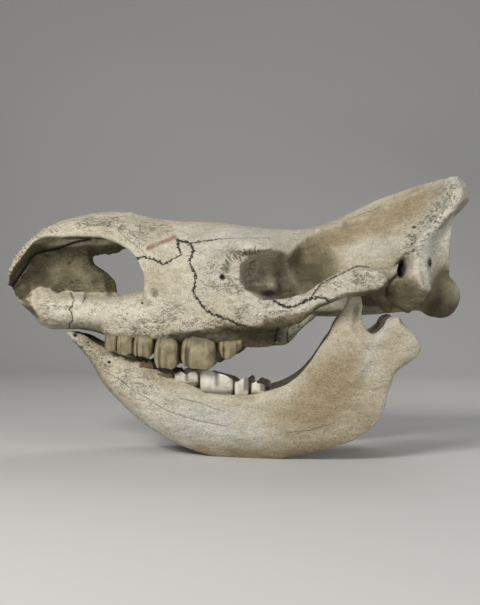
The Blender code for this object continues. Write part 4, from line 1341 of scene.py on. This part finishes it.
def bone_material(name, colours, grain):
    """Old bone: mottled pale ground, stains, dirt and painted shade in hollows, painted light on a few pale
    patches, dark seams, pits and fine grain along X.
    """
    web = Web(name)
    speckle = web.layer("specks")
    cloud = web.noise(14, 4)
    patch = web.noise(38, 4, 0.6)
    fine = web.noise(190, 4, 0.7).between(0.25, 0.75)
    grit = web.noise(430, 2, 0.6).between(0.3, 0.7)
    streak = web.noise(90, 4, 0.65, grain).between(0.3, 0.7)
    ground = web.mix(cloud.between(0.35, 0.65), colours.bone_pale, colours.bone_warm)
    ground = web.mix(web.layer("cool") * (0.4 + patch), ground, colours.bone_cool)
    # Pale patches: lighter bone, and painted light in the orbit, on the condyle's rim and at the front of the
    # temple
    ground = web.mix(web.layer("pale") * (0.4 + 0.8 * patch), ground, colours.worn)
    tan = web.layer("tan") * (0.5 + 0.9 * web.noise(30, 4))
    ground = web.mix(tan.between(0.05, 0.95), ground, colours.stain_tan)
    rust = web.layer("rust") * (0.4 + web.noise(70, 3))
    ground = web.mix(rust.between(0.1, 0.7) * 0.85, ground, colours.stain_rust)
    # Dirt and painted shade: the grime-and-shade layer darkens the bone towards olive, and where it is
    # deepest towards the crevice colour
    dirt_and_shade = web.layer("grime_and_shade") * (0.45 + 1.0 * web.noise(26, 4)) + patch.between(0.55, 0.8) * 0.22
    ground = web.mix(dirt_and_shade.between(0.1, 1.0) * 0.85, ground, colours.dirt_and_shade)
    deep = web.layer("grime_and_shade") * (0.45 + 1.1 * patch)
    ground = web.mix(deep.between(0.9, 2.0) * 0.75, ground, colours.crevice_dirt_and_shade)
    shade = fine * 0.35 + streak * 0.3 + grit * 0.35
    ground = web.mix(1.0, ground, web.mix(shade, (0.58, 0.57, 0.53, 1), (1.32, 1.32, 1.31, 1)), "MULTIPLY")
    # Painted shade: darker in small creases and in wide hollows, by how far the surface lies below its
    # smoothed form
    hollow = web.layer("hollow").between(0.12, 0.8) * 0.6
    wide = web.layer("wide_hollow_shade").between(1.5, 9.0) * 0.3
    ground = web.mix(hollow.math("MAXIMUM", wide), ground, colours.crevice_dirt_and_shade)
    edge = (0 - web.layer("hollow")).between(0.05, 0.5) * (1.4 - web.layer("grime_and_shade")).between(0, 1) * 0.35
    ground = web.mix(edge, ground, colours.worn)
    wobble = web.noise(230, 5, 0.72) - 0.5
    seams = []
    for group, width, jitter, strength in (("seam", 1.6, 18.0, 1.0), ("crack", 0.85, 11.0, 0.85),
                                           ("hair", 0.5, 5.0, 0.42)):
        width = width * (0.35 + 1.3 * web.noise(50, 3))
        line = (web.layer(group) + wobble * jitter).size() / width
        seams.append(line.between(1.25, 0.5) * web.layer(group + "_near").between(7.0, 3.0) * strength)
    seam = seams[0].math("MAXIMUM", seams[1]).math("MAXIMUM", seams[2])
    dark = web.layer("dark").between(0.1, 0.7)
    cluster = web.noise(40, 3)
    coarse = web.noise(330, 2, 0.5) + (1 - speckle) * 0.085 - cluster * 0.06
    small = web.noise(600, 1, 0.5) + (1 - speckle) * 0.06 - cluster * 0.07
    spots = coarse.between(0.345, 0.28).math("MAXIMUM", small.between(0.345, 0.28) * 0.75)
    wander = (web.noise(85, 5, 0.72, grain) - 0.5).size()
    lines = wander.between(0.022, 0.004) * cluster.between(0.42, 0.56) * speckle.between(0.02, 0.6)
    marks = spots.math("MAXIMUM", lines)
    ground = web.mix(marks * 0.78, ground, colours.crevice_dirt_and_shade)
    # Dark seams, and painted shade in openings, creases and grooves
    ground = web.mix(seam.math("MAXIMUM", dark) * 0.95, ground, colours.seam)
    web.put(web.shader.inputs["Base Color"], ground)
    web.put(web.shader.inputs["Roughness"], 0.66 + 0.22 * fine)
    web.shader.inputs["Specular IOR Level"].default_value = 0.32
    height = fine * 0.4 + streak * 0.22 + grit * 0.35 - marks * 0.55 - seam * 1.1
    web.put(web.shader.inputs["Normal"], web.bump(height, 0.0022, 0.9))
    return web.material


def tooth_material(name, colours, face, low, polish):
    """Enamel: growth lines down the crown, darker in the grooves and towards the neck, brown chewing face."""
    web = Web(name)
    cloud = web.noise(55, 4)
    streak = web.noise(120, 4, 0.6, (1, 1, 0.18))
    ground = web.mix(cloud.between(0.35, 0.7), face, low)
    ground = web.mix(1.0, ground, web.mix(streak, (0.66, 0.64, 0.57, 1), (1.2, 1.2, 1.18, 1)), "MULTIPLY")
    # Darker towards the neck and the root, and in the grooves between the ribs
    share = web.layer("crown")
    ground = web.mix(share.between(0.34, 0.04) * 0.85, ground, colours.crevice_dirt_and_shade)
    groove = web.layer("groove")
    ground = web.mix(groove.between(0.25, 0.85) * 0.8, ground, colours.crevice_dirt_and_shade)
    chew = web.layer("chew")
    ground = web.mix(chew.between(0.2, 0.9) * 0.8, ground, colours.dentine)
    crack = web.node("ShaderNodeTexVoronoi", {"feature": "DISTANCE_TO_EDGE"},
                     {"Vector": web.place, "Scale": 55.0, "Randomness": 1.0}, 0)
    line = crack.between(0.022, 0.006) * web.noise(40, 2).between(0.56, 0.68)
    ground = web.mix(line * 0.5, ground, colours.crevice_dirt_and_shade)
    web.put(web.shader.inputs["Base Color"], ground)
    web.put(web.shader.inputs["Roughness"], polish + 0.2 * cloud)
    height = streak * 0.6 + cloud * 0.3 - line * 1.2
    web.put(web.shader.inputs["Normal"], web.bump(height, 0.0006, 0.7))
    return web.material


# Teeth of the animal's left side. Each row: first and last x, outer y, breadth, neck z, tip z, root depth,
# width of the neck as a share, ribs (share of the length, half width share, height) and cusps (share, drop).
UPPER_TEETH = {
    "P2": (-222, -200.5, -61, 24, 195, 170, 16, 0.80, [(0.3, 0.2, 1.4), (0.78, 0.16, 1.0)],
           [(0.0, 9), (0.4, 0), (1.0, 3)]),
    "P3": (-201, -173, -69, 33, 193, 165, 18, 0.82, [(0.13, 0.10, 1.4), (0.58, 0.28, 1.8)],
           [(0.0, 4), (0.5, 0), (1.0, 3)]),
    "P4": (-173, -140, -77, 39, 192, 160, 18, 0.84, [(0.1, 0.08, 1.8), (0.34, 0.09, 2.0), (0.74, 0.2, 2.2)],
           [(0.0, 8), (0.1, 4), (0.22, 6), (0.34, 2), (0.5, 5), (0.75, 0), (1.0, 8)]),
    "M1": (-139, -97.5, -85, 46, 187, 142, 18, 0.70, [(0.12, 0.09, 2.0), (0.38, 0.1, 2.0), (0.76, 0.18, 2.8)],
           [(0.0, 12), (0.14, 3), (0.25, 5), (0.38, 2), (0.55, 4), (0.72, 0), (1.0, 9)]),
    "M2": (-95, -36, -91, 50, 188, 143, 20, 0.78, [(0.08, 0.06, 2.4), (0.29, 0.06, 2.8), (0.66, 0.24, 2.8)],
           [(0.0, 13), (0.12, 5), (0.2, 5), (0.3, 1), (0.38, 3), (0.55, 0), (0.8, 1), (1.0, 9)]),
    "M3": (-34, 6, -90, 42, 183, 158, 16, 0.9, [(0.12, 0.08, 2.0), (0.34, 0.08, 2.4), (0.62, 0.12, 2.0)],
           [(0.0, 13), (0.2, 4), (0.34, 0), (0.42, 1), (0.7, 9), (1.0, 21)]),
}
LOWER_TEETH = {
    "p2": (-165, -141, -58, 18, 146, 157.5, 16, 0.96, [],
           [(0.0, 7), (0.3, 1), (0.55, 5), (0.8, 0), (1.0, 8)]),
    "p3": (-136, -108, -64, 22, 130, 139.5, 16, 0.96, [],
           [(0.0, 6), (0.35, 0), (0.6, 4), (0.85, 1), (1.0, 7)]),
    "p4": (-106.5, -66, -69, 26, 123, 140.5, 18, 0.9, [(0.24, 0.21, 1.8), (0.76, 0.2, 1.8)],
           [(0.0, 5), (0.25, 1), (0.5, 7), (0.78, 0), (1.0, 4)]),
    "m1": (-64.5, -9.5, -75, 28, 108, 141.5, 20, 0.94, [(0.235, 0.23, 1.6), (0.765, 0.225, 1.6)],
           [(0.0, 2), (0.06, 0), (0.42, 1), (0.48, 5), (0.54, 4), (0.8, 9), (1.0, 16)]),
    "m2": (-8, 15.5, -80, 27, 102, 131, 18, 0.9, [(0.34, 0.3, 1.0)],
           [(0.0, 9), (0.3, 7), (0.6, 3), (0.82, 0), (1.0, 4)]),
    "m3": (19, 42, -86, 24, 108, 124, 16, 0.94, [(0.3, 0.25, 1.4)],
           [(0.0, 4), (0.3, 0), (0.5, 3), (0.8, 4), (1.0, 7)]),
}

# How much lower the broken molars of the far side end
FAR_STUMPS = {"m1": 11, "m2": 9, "m3": 6}


def tooth_skin(name, tooth, mirrored, worn):
    """Tooth as rings: root, crown wall and chewing face. Across a ring, x and y follow a rounded box; ribs
    add height * exp(-((share - rib) / width)^2) to the outer wall; the crown's edge follows its cusps; and
    the chewing face falls into a basin with two cross ridges as the rings close on its middle."""
    first, last, outer, breadth, neck, tip, root, waist, ribs, cusps = tooth
    around, deep, high, inner = 120, 8, 28, 12
    up = 1 if tip > neck else -1
    neck = neck - up * (6 if up > 0 else 11)
    square = 0.3 if up > 0 else 0.34
    angle = np.linspace(0, 2 * math.pi, around, endpoint=False)[None, :]
    along = signed_power(np.cos(angle), square)
    across = signed_power(np.sin(angle), square)
    share = np.concatenate([np.linspace(-1, 0, deep, endpoint=False), np.linspace(0, 1, high)])[:, None]
    grown = np.clip(share, 0, 1)
    flare = waist + (1 - waist) * np.sin(np.clip(grown * 1.35, 0, 1) * math.pi / 2)
    taper = np.where(share < 0, 1 + 0.45 * share, 1.0)
    close = 1 - 0.05 * step_between(grown, 0.86, 1.0)
    long, wide = flare * taper * close, (0.5 + 0.5 * flare) * taper**2 * (close - 0.06 * grown**3)
    middle, half = (first + last) / 2, (last - first) / 2
    x = middle + half * long * along
    y = outer + breadth / 2 + breadth / 2 * wide * across
    place = (along + 1) / 2
    flute = lumps(np.stack([x, x * 0, np.broadcast_to(grown, x.shape) * 7], 2).reshape(-1, 3), 4.5,
                  23).reshape(x.shape)
    rib = np.zeros_like(place)
    for at, width, height in ribs:
        sharp = 8.0 if up > 0 else 2.6 if width > 0.15 else 4.0
        rib = rib + (1.6 if up > 0 else 2.2) * height * np.exp(-(np.abs((place - at) / width) ** sharp))
    most = (1.6 if up > 0 else 2.2) * max([height for _, _, height in ribs], default=1)
    outside = np.clip(-across, 0, 1) ** 0.35
    y = y - (rib + 1.3 * flute) * outside * step_between(share, -0.3, 0.6)
    y = y + 1.8 * outside * (share > 0) * bool(ribs) + np.clip(-share, 0, 1) * 9
    y = y + (5 if up < 0 else 4) * (1 - step_between(share, 0.0, 0.5))
    drop = np.interp(place, [at for at, _ in cusps], [fall for _, fall in cusps])
    drop = drop + 2.2 * np.clip(across, 0, 1)
    edge = tip - up * drop
    z = np.where(share < 0, neck + share * root * up, neck + (edge - neck) * grown)
    closing = np.concatenate([[0.015, 0.04], np.linspace(0, 1, inner + 1)[1:-1]])[:, None]
    basin = (3.0 + 0.06 * breadth) * np.sin(closing * math.pi / 2)
    loph = np.cos((place - 0.1) * 2 * math.pi * 1.6) * 2.2 * closing * (1 - closing) * 3
    x_in = middle + (x[-1:] - middle) * (1 - closing)
    y_in = outer + breadth / 2 + (y[-1:] - outer - breadth / 2) * (1 - closing)
    low = float(np.min(z[-1] * up)) * up - up * 1.5
    z_in = z[-1:] + (low - z[-1:]) * step_between(closing, 0.0, 0.7) - up * basin * 0.6 + up * loph
    rings = np.concatenate([np.stack([x, y, z], 2), np.stack([x_in, y_in, z_in], 2)])
    points = rings.reshape(-1, 3)
    chip = rough(points, 6, 17 if mirrored else 11, 2)
    stub = 1.6 if worn else 0.7
    crown = np.concatenate([np.broadcast_to(share, x.shape), np.full(x_in.shape, 1.0)]).ravel()
    points[:, 2] += up * chip * stub * step_between(crown, 0.3, 1.0)
    points[:, 1] += chip * stub * 0.4 * step_between(crown, 0.1, 0.4)
    made = solid_from_rings(name, points.reshape(rings.shape), mirrored)
    groove = np.concatenate([(1 - np.clip(rib / most, 0, 1)) * outside * step_between(share, 0.1, 0.5) * 0.8,
                             np.zeros(x_in.shape)]).ravel()
    chewed = np.concatenate([np.zeros(x.shape), np.broadcast_to(0.35 + 0.65 * closing, x_in.shape)]).ravel()
    skin = Skin(made)
    skin.store("crown", crown)
    skin.store("groove", groove if ribs else groove * 0)
    skin.store("chew", np.maximum(chewed, worn * 0.9))
    return made


def finish_piece(thing, nodes, material):
    """Smooth a piece, give it its finish and tie it to the frame."""
    thing.data.shade_smooth()
    thing.data.materials.clear()
    thing.data.materials.append(material)
    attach(thing, "root")
    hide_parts(*nodes)


class SkullSizes(bpy.types.PropertyGroup):
    """Sizes of the fine surface."""

    grid: FloatProperty(name="Grid", description="Step of the grid that the bones are melted on",
                        default=0.0023,
                        min=0.0015, max=0.006, unit="LENGTH")
    reach: FloatProperty(name="Rounding", description="How far the creases between forms are rounded",
                         default=0.0102, min=0.0, max=0.03, unit="LENGTH")
    cranium_triangles: IntProperty(name="Cranium triangles", description="Triangles that the cranium keeps",
                                   default=192000, min=20000, max=199000)
    mandible_triangles: IntProperty(name="Jaw triangles", description="Triangles that the lower jaw keeps",
                                    default=120000, min=20000, max=199000)


def colour_setting(name, description, tint):
    """A colour of the panel, opaque."""
    return FloatVectorProperty(name=name, description=description, default=(*tint, 1.0), subtype="COLOR",
                               size=4, min=0, max=1)


class SkullColours(bpy.types.PropertyGroup):
    """Colours of bone, dirt, painted shade and painted light, and enamel."""

    bone_pale: colour_setting("Pale bone", "Clean bone", (0.64, 0.585, 0.465))
    bone_warm: colour_setting("Warm bone", "Cream patches", (0.52, 0.46, 0.335))
    bone_cool: colour_setting("Cool bone", "Greyish patches", (0.57, 0.56, 0.51))
    stain_tan: colour_setting("Tan stain", "Stain of the temple", (0.37, 0.295, 0.19))
    stain_rust: colour_setting("Rust stain", "Reddish marks", (0.31, 0.155, 0.105))
    # Olive dirt, also the colour of painted shade
    dirt_and_shade: colour_setting("Dirt", "Olive dirt", (0.175, 0.15, 0.08))
    # Dirt in pits, and painted shade in hollows, creases and the teeth's grooves
    crevice_dirt_and_shade: colour_setting("Crevice", "Dirt in pits and hollows", (0.08, 0.068, 0.04))
    # Dark of seams, and painted shade in openings and creases
    seam: colour_setting("Seam", "Dark of seams and openings", (0.018, 0.015, 0.012))
    # Rubbed ridges and pale bone, also painted light
    worn: colour_setting("Worn edge", "Rubbed ridges", (0.76, 0.715, 0.6))
    enamel: colour_setting("Enamel", "Upper teeth", (0.345, 0.295, 0.18))
    enamel_low: colour_setting("Enamel shade", "Olive shade of the upper teeth", (0.165, 0.14, 0.078))
    enamel_white: colour_setting("White enamel", "Lower teeth", (0.78, 0.74, 0.66))
    enamel_grey: colour_setting("Grey enamel", "Shade of the lower teeth", (0.6, 0.56, 0.47))
    dentine: colour_setting("Dentine", "Worn tooth and chewing faces", (0.16, 0.1, 0.055))


class SKULL_OT_cranium(bpy.types.Operator):
    """Build the cranium from its lofts and finish it"""

    bl_idname = "skull.cranium"
    bl_label = "Cranium"

    def execute(self, context):
        sizes, colours = context.scene.skull_sizes, context.scene.skull_colours
        hollows = ball_pair("orbit", ORBIT) + ball_pair("nerve_opening", NERVE_OPENING)
        hollows += ball_pair("nasal_passage", NASAL_PASSAGE)
        hollows += [ball("palate_hollow", PALATE_HOLLOW), ball("throat_hollow", THROAT_HOLLOW)]
        carved = [midline_loft("face", FACE, square=0.72), midline_loft("forehead", FOREHEAD, square=0.55)]
        carved += side_lofts("cheek", CHEEK)
        for bone in carved:
            take_out(bone, hollows)
        pieces = [*carved, nasal_roof()]
        for title, plate, middle in (("near", 2, -0.45), ("far", 3, 0.45)):
            septum = [(row[0], row[1], row[plate], middle * row[4],
                       *(row[4] * share for share in (0.5, 0.6, 0.5)))
                      for row in SEPTUM]
            pieces.append(solid_from_rings("septum_" + title, standing_loft(septum, square=0.6)))
        pieces += side_lofts("alveolus", ALVEOLUS)
        for title, rows in (("braincase", BRAINCASE), ("rostrum_floor", ROSTRUM_FLOOR), ("base", SKULL_BASE)):
            pieces.append(midline_loft(title, rows))
        pieces += side_lofts("pterygoid", PTERYGOID)
        pieces.append(solid_from_rings("nuchal_crest", crossing_loft(NUCHAL_CREST)))
        for title, rows in (("lambdoid", LAMBDOID_RIDGE), ("paroccipital", PAROCCIPITAL),
                            ("postglenoid", POSTGLENOID), ("temple_wall", TEMPLE_WALL)):
            pieces += both_sides(title, standing_loft(rows))
        pieces += both_sides("squamosal", crossing_loft(SQUAMOSAL))
        pieces += ball_pair("condyle", CONDYLE) + ball_pair("condyle_neck", CONDYLE_NECK)
        pieces.append(solid_from_rings("occiput", standing_loft(OCCIPUT)))
        bone = fuse("cranium_bone", pieces)
        melt(bone, sizes.grid, sizes.reach)
        openings = ball_pair("ear_opening", EAR_OPENING, EAR_TILT) + [ball("spinal_opening", SPINAL_OPENING)]
        openings += ball_pair("orbit_rim", ORBIT_RIM)
        take_out(bone, openings)
        for cutter in hollows + openings:
            bpy.data.objects.remove(cutter)
        melt(bone, sizes.grid, sizes.grid)
        shape_cranium(bone)
        thin(bone, sizes.cranium_triangles)
        mark_cranium(bone)
        finish_piece(bone, ["cranium"], bone_material("cranium_bone", colours, (0.35, 1, 1)))
        return {"FINISHED"}


class SKULL_OT_mandible(bpy.types.Operator):
    """Build the lower jaw from its lofts and finish it"""

    bl_idname = "skull.mandible"
    bl_label = "Lower jaw"

    def execute(self, context):
        sizes, colours = context.scene.skull_sizes, context.scene.skull_colours
        row = through(JAW_HALF, 130)
        top = np.stack([row[:, 0], row[:, 4], row[:, 1]], 1)
        low = np.stack([row[:, 2], row[:, 4], row[:, 3]], 1)
        pieces = both_sides("jaw_half", section_rings(top, low, row[:, 5:8], (0, 1, 0), 0.85, 64))
        pieces.append(midline_loft("symphysis", SYMPHYSIS))
        pieces += both_sides("coronoid", standing_loft(CORONOID))
        pieces += both_sides("jaw_neck", standing_loft(JAW_NECK))
        bone = fuse("mandible_bone", pieces)
        melt(bone, sizes.grid, sizes.reach)
        shape_mandible(bone)
        skin = Skin(bone)
        skin.points = hold_inside(skin.points)
        skin.write()
        thin(bone, sizes.mandible_triangles)
        mark_mandible(bone)
        finish_piece(bone, ["mandible"], bone_material("jaw_bone", colours, (0.3, 1, 1)))
        return {"FINISHED"}


class SKULL_OT_upper_teeth(bpy.types.Operator):
    """Build the twelve upper teeth and finish them"""

    bl_idname = "skull.upper_teeth"
    bl_label = "Upper teeth"

    def execute(self, context):
        colours = context.scene.skull_colours
        enamel = tooth_material("upper_enamel", colours, colours.enamel, colours.enamel_low, 0.5)
        for name, tooth in UPPER_TEETH.items():
            for side in ("left", "right"):
                node = f"upper_{name}_{side}"
                made = tooth_skin(node + "_crown", tooth, side == "right", 0.0)
                finish_piece(made, [node], enamel)
        return {"FINISHED"}


class SKULL_OT_lower_teeth(bpy.types.Operator):
    """Build the twelve lower teeth and finish them"""

    bl_idname = "skull.lower_teeth"
    bl_label = "Lower teeth"

    def execute(self, context):
        colours = context.scene.skull_colours
        enamel = tooth_material("lower_enamel", colours, colours.enamel_white, colours.enamel_grey, 0.52)
        stub = tooth_material("worn_dentine", colours, colours.dirt_and_shade, colours.dentine, 0.6)
        for name, tooth in LOWER_TEETH.items():
            worn = name in ("p2", "p3")
            for side in ("left", "right"):
                node = f"lower_{name}_{side}"
                wear = 1.0 if worn else 0.0
                if side == "right" and name in FAR_STUMPS:
                    tooth = (*tooth[:5], tooth[5] - FAR_STUMPS[name], *tooth[6:])
                    wear = 0.6
                made = tooth_skin(node + "_crown", tooth, side == "right", wear)
                finish_piece(made, [node],
                             stub if worn else enamel)
        return {"FINISHED"}


class SKULL_OT_stage(bpy.types.Operator):
    """Lay the floor and set the lights and the camera"""

    bl_idname = "skull.stage"
    bl_label = "Studio"

    def execute(self, context):
        scene = context.scene
        floor_half, bend, back, high = 6.0, 1.2, 3.0, 5.0
        turn = np.linspace(0, math.pi / 2, 24)
        profile_y = np.concatenate([[-floor_half], back - bend + bend * np.sin(turn), [back]])
        profile_z = np.concatenate([[0.0], bend - bend * np.cos(turn), [high]])
        points = [(x, y, z) for x in (-floor_half, floor_half) for y, z in zip(profile_y, profile_z)]
        count = len(profile_y)
        faces = [(k, k + count, k + count + 1, k + 1) for k in range(count - 1)]
        mesh = bpy.data.meshes.new("studio_floor")
        mesh.from_pydata(points, [], faces)
        mesh.shade_smooth()
        floor = bpy.data.objects.new("studio_floor", mesh)
        scene.collection.objects.link(floor)
        web = Web("studio_floor")
        web.shader.inputs["Base Color"].default_value = (0.60, 0.595, 0.58, 1)
        web.shader.inputs["Roughness"].default_value = 0.85
        mesh.materials.append(web.material)
        aim = Vector((0.0, 0.0, 0.24))
        lamps = {
            "key": ((-1.05, -2.05, 1.6), 58, 0.8, (1.0, 0.975, 0.93)),
            "fill": ((2.1, -1.8, 1.0), 18, 1.4, (0.93, 0.96, 1.0)),
            "rim": ((0.9, 1.4, 2.0), 14, 1.2, (1.0, 0.98, 0.95)),
        }
        for name, (place, power, size, colour) in lamps.items():
            lamp = bpy.data.lights.new(name, "AREA")
            lamp.energy = power
            lamp.size = size
            lamp.color = colour
            made = bpy.data.objects.new(name, lamp)
            made.location = place
            made.rotation_euler = (aim - Vector(place)).to_track_quat("-Z", "Y").to_euler()
            scene.collection.objects.link(made)
        world = bpy.data.worlds.new("studio")
        world.use_nodes = True
        world.node_tree.nodes["Background"].inputs["Color"].default_value = (0.9, 0.93, 1.0, 1)
        world.node_tree.nodes["Background"].inputs["Strength"].default_value = 0.13
        scene.world = world
        camera = bpy.data.cameras.new("side_view")
        camera.lens = LENS
        camera.sensor_width = SENSOR
        camera.sensor_fit = "AUTO"
        camera.shift_y = (CENTRE_ROW - PICTURE_HEIGHT / 2) / PICTURE_HEIGHT
        eye = bpy.data.objects.new("side_view", camera)
        eye.location = (MM * (MIDDLE_SHIFT + EYE_DISTANCE * math.sin(EYE_TURN)),
                        -MM * EYE_DISTANCE * math.cos(EYE_TURN), MM * EYE_HEIGHT)
        eye.rotation_euler = (math.radians(90), 0, EYE_TURN)
        scene.collection.objects.link(eye)
        scene.camera = eye
        scene.view_settings.view_transform = "Standard"
        return {"FINISHED"}


class SKULL_PT_panel(bpy.types.Panel):
    """Lists the sizes, the colours and the steps"""

    bl_idname = "SKULL_PT_panel"
    bl_label = "Fossil skull"
    bl_space_type = "VIEW_3D"
    bl_region_type = "UI"
    bl_category = "Skull"

    def draw(self, context):
        layout = self.layout
        for group in (context.scene.skull_sizes, context.scene.skull_colours):
            for name in group.bl_rna.properties.keys():
                if name not in ("rna_type", "name"):
                    layout.prop(group, name)
        for step in STEPS:
            layout.operator(step.bl_idname)


STEPS = (SKULL_OT_cranium, SKULL_OT_mandible, SKULL_OT_upper_teeth, SKULL_OT_lower_teeth, SKULL_OT_stage)
GROUPS = (SkullSizes, SkullColours)


def register():
    for kind in (*GROUPS, *STEPS, SKULL_PT_panel):
        bpy.utils.register_class(kind)
    bpy.types.Scene.skull_sizes = PointerProperty(type=SkullSizes)
    bpy.types.Scene.skull_colours = PointerProperty(type=SkullColours)


def unregister():
    del bpy.types.Scene.skull_sizes
    del bpy.types.Scene.skull_colours
    for kind in reversed((*GROUPS, *STEPS, SKULL_PT_panel)):
        bpy.utils.unregister_class(kind)


def main():
    """Register the add-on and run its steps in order."""
    register()
    bpy.ops.skull.cranium()
    bpy.ops.skull.mandible()
    bpy.ops.skull.upper_teeth()
    bpy.ops.skull.lower_teeth()
    bpy.ops.skull.stage()


if __name__ == "__main__":
    main()
